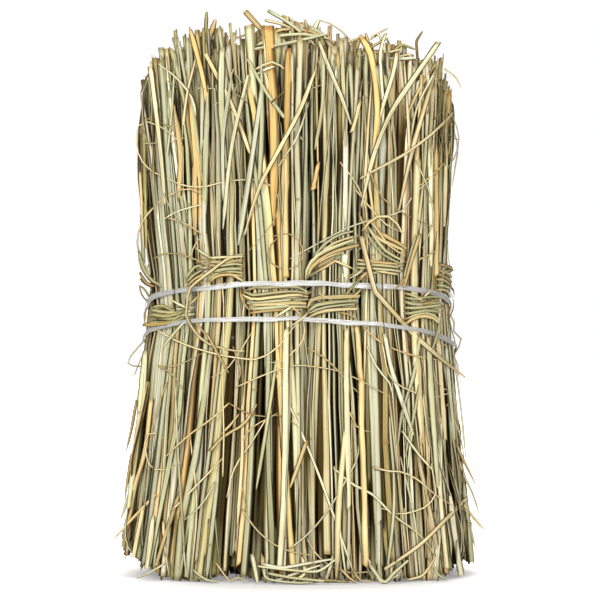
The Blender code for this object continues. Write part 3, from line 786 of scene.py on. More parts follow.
def fillHank(name, number):
    tie, tip, rise, mix, spread, twist = hanks[name]
    outline = outlines[name]
    dice = np.random.default_rng(4100 + number)
    middle = float(outline.reaches.mean())
    # How far the tallest stalks stand above the rest.
    most = hankLook["outerTallest"] if abs(outline.middles[-1][0]) > 0.050 else hankLook["tallest"]
    parts, stems, leaves, inner = [], [], [], []
    for layer, share in enumerate(hankLook["layers"]):
        room = fullTurn * middle * share / hankLook["pitch"]
        count = max(1, int(room * (0.88 if layer == 0 else 1.0)))
        angle = (np.arange(count) + dice.uniform(-0.33, 0.33, count) + dice.random()) * fullTurn / count
        shares = share + dice.normal(0, 0.024, count)
        shade = np.full(count, hankLook["shades"][layer])
        leafy = dice.random(count) < (hankLook["leafShare"] if layer < 2 else 0)
        (stems if layer < 2 else inner).append((angle[~leafy], shares[~leafy], shade[~leafy]))
        leaves.append((angle[leafy], shares[leafy], shade[leafy]))

    def gathered(lists):
        return (np.concatenate([s[i] for s in lists]) for i in range(3))

    angle, share, shade = gathered(stems)
    count = len(angle)
    width = np.clip(dice.lognormal(math.log(hankLook["stemWidth"]), 0.36, count), 0.8 * mm, 4.2 * mm)
    foot, top = endHeights(dice, tip, spread, count, most)
    top = top + rise * np.cos(angle) * share
    drift = heavy(dice, count, 1.6 * mm, 4.5 * mm)
    routes, facing = hankRoutes(
        dice, outline, tie, share, angle, foot, top, routePoints, drift, 0.6 * mm,
        girth=width * 0.42, twist=twist,
    )
    uneven = 1 + 0.06 * dice.normal(0, 1, (count, routePoints))
    widths = width[:, None] * (np.linspace(1.08, 0.86, routePoints)[None, :] * uneven)
    flat = dice.uniform(0.70, 1.0, (count, 1))
    # Painted shade: inner layers dark, and darker again in the gaps between hanks.
    tints = shaded(pickTints(dice, mix, count, routePoints), routes[..., 2], shade, tip)
    tints = tints * creviced(name, routes)
    seeds, slants = dice.random(count), dice.normal(0, 0.5, (count, 2))
    parts.append(
        growStalks(forms["stem"], routes, widths, widths * flat, facing, tints, seeds, (0.0, 0.46), slants)
    )

    angle, share, shade = gathered(leaves)
    extra = hankLook["strays"]
    angle = np.append(angle, dice.uniform(0, fullTurn, extra))
    share, shade = np.append(share, np.ones(extra)), np.append(shade, np.ones(extra))
    count = len(angle)
    stray = np.arange(count) >= count - extra
    width = np.clip(dice.lognormal(math.log(hankLook["leafWidth"]), 0.34, count), 1.2 * mm, 5.2 * mm)
    width = np.where(stray, width * 0.72, width)
    drift = np.where(stray, dice.normal(0, 8.0, count) * mm, heavy(dice, count, 2.0 * mm, 5.5 * mm, 0.3))
    foot, top = endHeights(dice, tip, spread, count, most)
    top = top + rise * np.cos(angle) * share
    lift = np.where(stray, dice.uniform(0.6, 2.2, count) * mm, 0)[:, None]
    routes, facing = hankRoutes(
        dice, outline, tie, share, angle, foot, top, routePoints, drift, 0.8 * mm, lift,
        girth=width * 0.18, twist=twist,
    )
    bent = foldTips(dice, routes, facing, 0.30, tip)
    along = np.linspace(0, 1, routePoints)[None, :]
    pointed = np.where((dice.random(count) < 0.35) | bent, 1.0, 0.0)[:, None]
    opened = np.interp(routes[..., 2], hankLook["leafHeights"], hankLook["leafOpened"])
    taper = opened * (1 - pointed * np.clip(along * 3.2 - 2.3, 0, 0.85))
    widths = width[:, None] * (taper * (1 + 0.08 * dice.normal(0, 1, (count, routePoints))))
    cup = dice.uniform(0.25, 0.7, (count, 1))
    facing = rolled(facing, dice.normal(0, 0.42, (count, 1)) + 0.35 * ripple(dice, along, count, 0.5, 1.5))
    tints = shaded(pickTints(dice, mix, count, routePoints, 0.45), routes[..., 2], shade, tip)
    tints = tints * creviced(name, routes)
    seeds, slants = dice.random(count), dice.normal(0, 0.9, (count, 2))
    parts.append(
        growStalks(forms["leaf"], routes, widths, widths * cup, facing, tints, seeds, (0.46, 0.78), slants)
    )

    angle, share, shade = gathered(inner)
    count = len(angle)
    width = np.clip(dice.lognormal(math.log(hankLook["stemWidth"]), 0.2, count), 1.2 * mm, 2.9 * mm)
    foot, top = endHeights(dice, tip, spread, count, most, hidden=True)
    top = top + rise * np.cos(angle) * share
    drift = dice.normal(0, 1.2, count) * mm
    routes, facing = hankRoutes(dice, outline, tie, share, angle, foot, top, innerPoints, drift, 0.4 * mm)
    wide = width[:, None] * np.ones((1, innerPoints))
    tints = shaded(pickTints(dice, mix, count, innerPoints), routes[..., 2], shade, tip)
    seeds = dice.random(count)
    parts.append(growStalks(forms["innerStem"], routes, wide, wide * 0.9, facing, tints, seeds, (0.78, 0.92)))

    count = hankLook["threads"]
    angle = np.where(dice.random(count) < 0.5, 0.25, 0.75) * fullTurn + dice.uniform(-0.8, 0.8, count)
    width = dice.uniform(0.45, 0.95, count) * mm
    foot, top = endHeights(dice, tip, spread, count, most)
    low = np.where(dice.random(count) < 0.5, foot, dice.uniform(0.01, 0.10, count))
    high = np.where(dice.random(count) < 0.5, top, dice.uniform(0.15, 0.23, count))
    drift = dice.normal(0, 7.0, count) * mm
    routes, facing = hankRoutes(
        dice, outline, tie, np.ones(count), angle, low, high, routePoints, drift, 1.2 * mm, 1.1 * mm
    )
    widths = width[:, None] * np.clip((1.03 - along) * 4.0, 0.2, 1)
    tints = pickTints(dice, mix, count, routePoints, 0.6)
    seeds = dice.random(count)
    parts.append(growStalks(forms["thread"], routes, widths, widths * 0.6, facing, tints, seeds, (0.92, 1.0)))
    return bundle("hank_" + name + "_stalks", parts, grass, "straw", "hank_" + name)


makeCamera()
makeStudio()
makeFloor()
grass = grassMaterial("dryGrass", grassLook)
hankPieces = [fillHank(name, number) for number, name in enumerate(hanks)]
stage("filled the hanks")


# ---- the wisps that tie the hanks

wispLook = {
    "strandWidth": 1.75 * mm,
    "strandThickness": 1.15 * mm,
    "stationsPerTurn": 22,
    "mix": {"sage": 4, "greyGreen": 3, "pale": 1.5, "straw": 3, "tan": 3, "pink": 1.5, "olive": 2},
}
mixes["wisp"] = wispLook["mix"]
wisps = {  # middle height, half the height, tilt
    "front_1": (0.1205, 0.0042, 0.00),
    "front_2": (0.1415, 0.0042, 0.06),
    "front_3": (0.1270, 0.0052, 0.02),
    "front_4": (0.1245, 0.0036, 0.14),
    "front_5": (0.1420, 0.0028, -0.06),
    "front_6": (0.1235, 0.0050, -0.02),
    "side_left": (0.1330, 0.0060, 0.05),
    "middle_left": (0.1240, 0.0050, 0.00),
    "middle": (0.1320, 0.0050, 0.00),
    "middle_right": (0.1270, 0.0050, 0.00),
    "side_right": (0.1370, 0.0066, 0.00),
    "back_1": (0.1290, 0.0055, 0.06),
    "back_2": (0.1360, 0.0050, -0.10),
    "back_3": (0.1240, 0.0062, 0.00),
    "back_4": (0.1400, 0.0055, 0.08),
    "back_5": (0.1260, 0.0050, 0.00),
    "back_6": (0.1350, 0.0058, -0.06),
}


def windWisp(pieceName, name, wisp, number, node, proud=0.0):
    height, half, tilt = wisp
    outline = outlines[name]
    dice = np.random.default_rng(5200 + number)
    lines = max(3, round(2 * half / (wispLook["strandWidth"] * 0.92)))
    strands = 2
    turns = lines / strands
    stations = int(turns * wispLook["stationsPerTurn"])
    progress = np.linspace(0, 1, stations)[None, :]
    start = (math.pi / 2 if "front" in name else -math.pi / 2) + dice.uniform(-0.4, 0.4, (strands, 1))
    angle = start + progress * turns * fullTurn
    climb = (np.floor(progress * turns * 0.999) + np.clip(np.mod(progress * turns, 1) * 3 - 1, 0, 1)) / turns
    offset = (np.arange(strands)[:, None] - (strands - 1) / 2) * half * 1.9 / lines
    z = height - half * 0.86 + climb * half * 1.72 + offset
    bob = ripple(dice, angle / fullTurn, strands, 0.6, 1.6)
    z = z + 0.00070 * bob + tilt * float(outline.reaches.mean()) * np.cos(angle)
    over = 0.00055 + proud + 0.00040 * ripple(dice, angle / fullTurn, strands, 0.5, 1.2)
    over = over + 0.0004 * (np.arange(strands)[:, None] % 2)
    routes = outline.place(np.ones_like(z), angle, z, -over)
    facing = np.stack([np.cos(angle), np.sin(angle), z * 0], -1)
    facing[..., 2] = 0.35 * ripple(dice, angle / fullTurn, strands, 0.3, 0.8)
    width = wispLook["strandWidth"] * (1 + 0.22 * ripple(dice, angle / fullTurn, strands, 0.4, 1.3))
    width = width * np.ones_like(z)
    thick = wispLook["strandThickness"] * np.ones_like(z)
    form = formFor("flat", stations)
    tints = pickTints(dice, "wisp", strands, stations, 0.0)
    parts = [growStalks(form, routes, width, thick, facing, tints, dice.random(strands), (0, 0.6))]

    tails = 4  # short ends that stick out of the wisp
    points = 9
    progress = np.linspace(0, 1, points)[None, :]
    if "middle" in name:
        at = dice.uniform(0, fullTurn, (tails, 1))
    else:
        at = start[0, 0] + math.pi + dice.normal(0, 1.1, (tails, 1))
    reach = dice.uniform(0.008, 0.020, (tails, 1))
    up = np.where(dice.random((tails, 1)) < 0.5, -1, 1)
    z = height + half * up * 0.5 + up * reach * progress * dice.uniform(0.3, 1.0, (tails, 1))
    angle = at + reach * progress * dice.choice([-1, 1], (tails, 1)) * 45
    over = 0.0012 + 0.0022 * np.sin(progress * math.pi * 0.8)
    routes = outline.place(np.ones_like(z), angle, z, -over)
    facing = np.stack([np.cos(angle), np.sin(angle), z * 0], -1)
    width = dice.uniform(0.8, 1.7, (tails, 1)) * mm * np.clip((1.05 - progress) * 3, 0.3, 1)
    form, tints = formFor("flat", points), pickTints(dice, "wisp", tails, points)
    parts.append(growStalks(form, routes, width, width * 0.4, facing, tints, dice.random(tails), (0.6, 1)))
    return bundle(pieceName, parts, wispGrass, "wisp", node)


wispGrass = grassMaterial("wispGrass", {**grassLook, "blotchStrength": 0.6})
# Other strands are laid over these.
covered = [name for name in wisps if name.startswith("front") or name == "side_right"]
sunk = -0.9 * mm
wispPieces = [
    windWisp("tie_" + name + "_strands", name, wisp, number, "tie_" + name, sunk if name in covered else 0.0)
    for number, (name, wisp) in enumerate(wisps.items())
]
upperWrap = (0.1470, 0.0036, 0.50)
wispPieces.append(windWisp("tie_front_4_upper_strands", "front_4", upperWrap, 90, "tie_front_4_upper", sunk))
stage("wound the wisps")


# ---- the plastic twine

twine = {
    "width": 2.4 * mm,
    "thickness": 0.70 * mm,
    "stations": 160,
    "knotBearing": math.radians(90),
    "wispRoom": 1.5 * mm,  # over a wisp
    "clearance": 0.45 * mm,
    "leftRoom": 1.1 * mm,  # over the edges of leaves
    "rightRoom": 0.3 * mm,
    "endWidth": 2.2 * mm,
    "knotWidth": 1.7 * mm,
    "rimPoints": 72,  # read round each hank
}


def tautLoop(number, bearings):
    # How far from the middle the twine runs at each bearing: straight across every hollow between the hanks.
    around = twine["rimPoints"]
    spread = np.linspace(0, fullTurn, around, endpoint=False)
    points = []
    for name, outline in outlines.items():
        tie = wisps[name]
        z = np.full(around, twineHeight(number, *outline.middle(np.array([0.125]))[0]))
        under = abs(tie[0] - z[0]) < tie[1] + 0.001
        room = twine["wispRoom"] if under else 0.0
        points.append(outline.place(np.ones(around), spread, z, -room)[:, :2])
    points = np.concatenate(points)
    ways = np.linspace(0, fullTurn, 180, endpoint=False)
    support = (points @ np.stack([np.cos(ways), np.sin(ways)])).max(0)
    facing = np.cos(bearings[:, None] - ways[None, :])
    return np.where(facing > 0.05, support[None, :] / np.maximum(facing, 0.05), 1.0).min(1)


def twineLoop(name, node, number):
    dice = np.random.default_rng(6300 + number)
    bearings = twine["knotBearing"] + np.linspace(0.0, 1.0, twine["stations"]) * fullTurn
    radius = tautLoop(number, bearings) + twine["clearance"]
    room = np.where(np.cos(bearings) < 0, twine["leftRoom"], twine["rightRoom"])
    radius = radius + room * smooth((np.abs(np.cos(bearings)) * radius - 0.042) / 0.018)
    route = np.stack([np.cos(bearings) * radius, np.sin(bearings) * radius, bearings * 0], -1)
    for _ in range(2):
        route[1:-1] = (route[:-2] + 2 * route[1:-1] + route[2:]) / 4
    route[:, 2] = twineHeight(number, route[:, 0], route[:, 1])
    route[:, 2] += 0.0004 * ripple(dice, bearings[None, :], 1, 0.5, 1.4)[0]
    facing = unit(route * (0.6, 1.6, 0))
    width = twine["width"] * (1 - 0.12 * number) * (1 + 0.16 * ripple(dice, bearings[None, :], 1, 0.25, 0.9))
    thick = twine["thickness"] * np.ones_like(width)
    facing[:, 2] = 0.30 * ripple(dice, bearings[None, :], 1, 0.5, 1.7)[0]
    plain = np.full((1, twine["stations"], 3), 0.7)
    form, seed = formFor("film", twine["stations"]), np.array([0.5])
    parts = [growStalks(form, route[None], width, thick, facing[None], plain, seed, (0, 0.7))]
    knot = route[0] + np.array([0, 0.0009, 0])
    knotTurns, ends, points = 3, 2, 12
    tails = knotTurns + ends
    progress = np.linspace(0, 1, points)
    routes = []
    for i in range(knotTurns):
        a = progress * fullTurn * 0.98 + i * 2.1
        upright = np.sin(a) * 0.5 * math.cos(i * 2.1) + np.cos(a) * 0.8
        routes.append(knot + np.stack([np.cos(a) * 1.5, np.sin(a) * 0.7 + 0.2 * i, upright], -1) * 1.2 * mm)
    for way in (1, -1):  # its two trimmed ends
        aside, behind = way * progress * 11 + np.sin(progress * 3) * 1.5, np.sin(progress * 2.4) * 2.2
        routes.append(knot + np.stack([aside, behind, way * progress - 7 * progress**1.6], -1) * mm)
    routes = np.array(routes)
    width = np.full((tails, points), twine["knotWidth"])
    width[knotTurns:] = twine["endWidth"]
    out = np.broadcast_to(np.array([0, 1.0, 0.25]), routes.shape)
    plain = np.full((tails, points, 3), 0.7)
    form, seeds = formFor("film", points), dice.random(tails)
    parts.append(growStalks(form, routes, width, width * 0.35, out, plain, seeds, (0.7, 1)))
    return bundle(name, parts, film, "twine", node)


film = twineMaterial("whiteTwine", twineLook)
for number, node in enumerate(("twine_upper", "twine_lower")):
    twineLoop(node + "_film", node, number)
stage("tied the twine")


# ---- loose stalks, laid over the hanks

looseLook = {
    "step": 4.0,  # a route has a point every so many mm
    "fewestPoints": 6,
    "mostPoints": 44,
    "farthest": 0.012,  # behind the middle, where what is hit still counts as under a stalk
    "openDepth": 0.03,  # in front of the middle, for a stalk with nothing under it
    "climb": 1.2 * mm,  # the most that a point is raised for the next one
    "lift": 0.25 * mm,
    "tieWidth": 1.10,  # of the strands laid over the ties, against their table
    "flatFrom": 1.15,  # a curl is a flat leaf from this width on, in mm
}


def treeOf(pieces):
    vertices, faces, start = [], [], 0
    for piece in pieces:
        mesh = piece.data
        co = np.empty(len(mesh.vertices) * 3)
        mesh.vertices.foreach_get("co", co)
        vertices += co.reshape(-1, 3).tolist()
        faces += [[start + i for i in polygon.vertices] for polygon in mesh.polygons]
        start += len(mesh.vertices)
    return BVHTree.FromPolygons(vertices, faces)


tree = treeOf(hankPieces + wispPieces)
stage("ready to lay stalks")


def hermite(t, a, b, sa, sb):  # a curve from a to b with those slopes
    atStart, atEnd = 2 * t**3 - 3 * t**2 + 1, 3 * t**2 - 2 * t**3
    return atStart * a + (t**3 - 2 * t**2 + t) * sa + atEnd * b + (t**3 - t**2) * sb


def smoothRoute(points, count):
    points = np.asarray(points, float)
    knots = np.concatenate([[0], np.cumsum(np.linalg.norm(np.diff(points[:, :2], axis=0), axis=1))])
    slope = np.gradient(points, knots, axis=0)
    at = np.linspace(0, knots[-1], count)
    i = np.clip(np.searchsorted(knots, at, side="right") - 1, 0, len(knots) - 2)
    gap = (knots[i + 1] - knots[i])[:, None]
    t = ((at - knots[i])[:, None]) / gap
    return hermite(t, points[i], points[i + 1], slope[i] * gap, slope[i + 1] * gap)


def seen(across, up, y):  # where a point of a picture taken from the front is, at that depth
    k = (camera["distance"] + y) / (camera["distance"] + camera["frontFace"])
    return np.stack([across * mm * k, y, camera["eyeHeight"] + (up * mm - camera["eyeHeight"]) * k], -1)


def turned(points, azimuth):  # about the upright axis
    c, s = math.cos(azimuth), math.sin(azimuth)
    return points @ np.array([[c, s, 0], [-s, c, 0], [0, 0, 1]])


def laid(points, width, proud, azimuth):
    # A route (across, up, lift in mm) as seen from that side, and how much of it has something under it.
    points = [tuple(p) + (0.0,) * (3 - len(p)) for p in points]
    length = sum(math.dist(a[:2], b[:2]) for a, b in zip(points, points[1:]))
    wanted = max(looseLook["fewestPoints"], round(length / looseLook["step"]))
    count = int(min(looseLook["mostPoints"], wanted))
    curve = smoothRoute(points, count)
    front = np.full(count, camera["frontFace"])
    eye = Vector(turned(np.array([0, -camera["distance"], camera["eyeHeight"]]), azimuth))
    depth = np.full(count, np.nan)
    for shift in (-0.5, 0, 0.5):
        targets = turned(seen(curve[:, 0] + shift * width / mm, curve[:, 1], front), azimuth)
        for i, target in enumerate(targets):
            hit = tree.ray_cast(eye, (Vector(target) - eye).normalized())[0]
            if hit is not None:
                nearness = -turned(np.array(hit), -azimuth)[1]
                if nearness > -looseLook["farthest"]:
                    depth[i] = np.fmax(depth[i], nearness)
    known = ~np.isnan(depth)
    if known.any():
        depth = np.interp(np.arange(count), np.flatnonzero(known), depth[known])
    else:
        depth = np.full(count, looseLook["openDepth"])
    near = np.maximum(np.append(depth[1:], depth[-1]), np.insert(depth[:-1], 0, depth[0]))
    depth = np.maximum(depth, np.minimum(near, depth + looseLook["climb"]))
    for _ in range(2):
        padded = np.concatenate([depth[:1], depth, depth[-1:]])
        depth = (padded[:-2] + 2 * padded[1:-1] + padded[2:]) / 4
    y = -(depth + looseLook["lift"] + width * 0.2 + (curve[:, 2] + proud) * mm)
    return turned(seen(curve[:, 0], curve[:, 1], y), azimuth), known.mean()


def looseStalk(
    kind, points, width, colour, sheet, seed,
    proud=0.0, side=0, ends=(0.9, 0.35), cup=0.35, least=0.0, dulled=1.0,
):
    dice = np.random.default_rng(seed)
    azimuth = math.radians(side)
    route, resting = laid(points, width * mm, proud, azimuth)
    if resting < least:
        return None
    count = len(route)
    progress = np.linspace(0, 1, count)
    taper = np.interp(progress, [0, 0.12, 0.75, 1], [ends[0], 1, 0.95, ends[1]])
    taper = taper * (1 + 0.05 * dice.normal(0, 1, count))
    aside = 0.5 * ripple(dice, progress[None, :], 1, 0.5, 1.5)[0]
    upwards = 0.3 * ripple(dice, progress[None, :], 1, 0.4, 1.2)[0]
    out = np.stack([aside, progress * 0 - 1, upwards], -1)
    facing = turned(out, azimuth) + unit(route * (1, 1, 0)) * 0.5
    tint = linearColour(np.array(palette[colour]) * dice.uniform(0.93, 1.05)) * dimmed(dulled**2.2)
    tint = tint * np.ones((1, count, 1))
    widths = (width * mm * taper)[None, :]
    depths = widths * (0.92 if kind == "stem" else cup)
    form, seeds, slants = formFor(kind, count), dice.random(1), dice.normal(0, 0.5, (1, 2))
    return growStalks(form, route[None], widths, depths, facing[None], tint, seeds, sheet, slants)


def looseGroup(name, slotName, nodes, stalks):
    parts = []
    for i, (kind, points, width, colour, *options) in enumerate(stalks):
        sheet = (i / len(stalks), (i + 1) / len(stalks))
        given = options[0] if options else {}
        parts.append(looseStalk(kind, points, width, colour, sheet, 70 * len(name) + i, **given))
    return bundle(name, [part for part in parts if part], grass, slotName, *nodes)


# Stalks with solids of their own. Routes are (across, up, lift) in mm as seen from the front.
proper = {
    "blade_top_right": ("leaf", "straw", [
        ("leaf", [(62.5, 243), (50, 225), (42, 213), (34, 194.5), (27.5, 168.5)], 2.6, "pale",
            {"ends": (1.0, 0.3)}),
        ("flat", [(60.5, 229), (52.5, 213), (49.5, 196.5)], 1.3, "pale"),
        ("flat", [(61.5, 234), (52.5, 219.5), (47.5, 208.5)], 1.6, "tan"),
    ]),
    "blade_top_left": ("leaf", "straw", [
        ("leaf", [(7, 230.5), (0, 212.5, 0.6), (-7, 199, 1.4), (-12, 190, 1.4), (-17, 180.5, 0.8),
            (-21.5, 168), (-25, 156)], 2.2, "straw", {"ends": (0.5, 0.4)}),
        ("flat", [(4, 216), (-2, 199), (-9, 188), (-14, 178)], 0.9, "pale"),
    ]),
    "bent_blade": ("leaf", "gold_straw", [
        ("leaf", [(27.7, 155.5, 0.6), (29.2, 149, 0.7), (30.9, 142.3, 1.2), (32.5, 136, 2.2),
            (33.6, 131.6, 2.6), (34.0, 130.6, 2.6), (34.9, 129.5, 2.5), (38.4, 125.6, 1.4),
            (43, 120.4, 0.6), (46, 117, -0.4), (48.6, 114.2, -1.2), (51.5, 111.2, -0.6), (56, 107, 0.8),
            (64.6, 99.7, 1.8), (74.3, 92.1, 3.5)], 2.7, "straw",
            {"ends": (1.1, 0.25), "cup": 0.2, "dulled": 1.0}),
    ]),
    "bent_blade_left": ("leaf", "straw", [
        ("leaf", [(-25, 147.5, 0.5), (-31, 146.2, 1), (-34.5, 144.2, 1.4), (-40.5, 139.6, 2),
            (-46.8, 134.9, 2.8), (-49.0, 133.1, 2.8), (-49.8, 131.3, 2.8), (-50.8, 125.5, 2.8),
            (-51.3, 120.5, 2.6), (-51.2, 118.6, 2.4), (-49.8, 116.4, 2.0), (-46, 111, 1.2),
            (-42, 107.6, 0.6), (-35.5, 105.3), (-29, 104), (-25, 103.9)], 1.7, "straw",
            {"ends": (0.5, 0.5)}),
    ]),
    "stick_right": ("stem", "gold_straw", [
        ("stem", [(68.5, 211), (58, 200.5), (47.5, 192.8), (36, 186.6), (27, 181.5)], 1.5, "straw",
            {"proud": 0.5, "ends": (1.0, 0.5)}),
    ]),
    "foot_stalk_left": ("stem", "gold_straw", [
        ("flat", [(-64.5, 39.5), (-74, 30), (-84.0, 19)], 1.6, "gold", {"ends": (1, 0.3)}),
        ("thread", [(-57.5, 32.5), (-46, 44), (-34.5, 56)], 1.1, "straw"),
    ]),
    "foot_stalk_right": ("stem", "straw", [
        ("leaf", [(75.5, 38, 2.2), (65, 27.5, 1.6), (55.5, 18, 0.6), (38, 5.5)], 2.3, "straw",
            {"proud": 0.5, "ends": (0.8, 0.7)}),
    ]),
    "spike_right": ("leaf", "gold_straw", [
        ("flat", [(70.5, 62), (73.5, 55), (76, 50), (79, 44)], 1.5, "tan"),
        ("flat", [(70.5, 38), (74.5, 34), (78, 29), (83, 23.5)], 1.6, "gold"),
        ("flat", [(71.5, 55), (74.5, 46.5), (78, 39), (80.5, 31)], 1.3, "straw"),
        ("flat", [(73.5, 36), (76, 27.5), (77.5, 21), (79, 15)], 1.4, "sage"),
    ]),
    "gold_stalk": ("stem", "gold_straw", [
        ("stem", [(27.5, 91, -0.6), (27.5, 82), (28.5, 45), (29.6, 7.2)], 3.3, "gold", {"ends": (0.95, 1.0)}),
    ]),
    "back_blade_long": ("leaf", "straw", [
        ("leaf", [(42, 215), (30, 197), (18, 180), (-5, 156)], 3.0, "pale", {"side": 180}),
    ]),
    "back_blade_bent": ("leaf", "gold_straw", [
        ("leaf", [(-30, 90), (-12, 62, 0.4), (-1, 25, 3.0)], 2.7, "gold", {"side": 180}),
    ]),
}
for node, (word, slotName, stalks) in proper.items():
    looseGroup(f"{node}_{word}", slotName, [node], stalks)
stage("laid the large loose stalks")

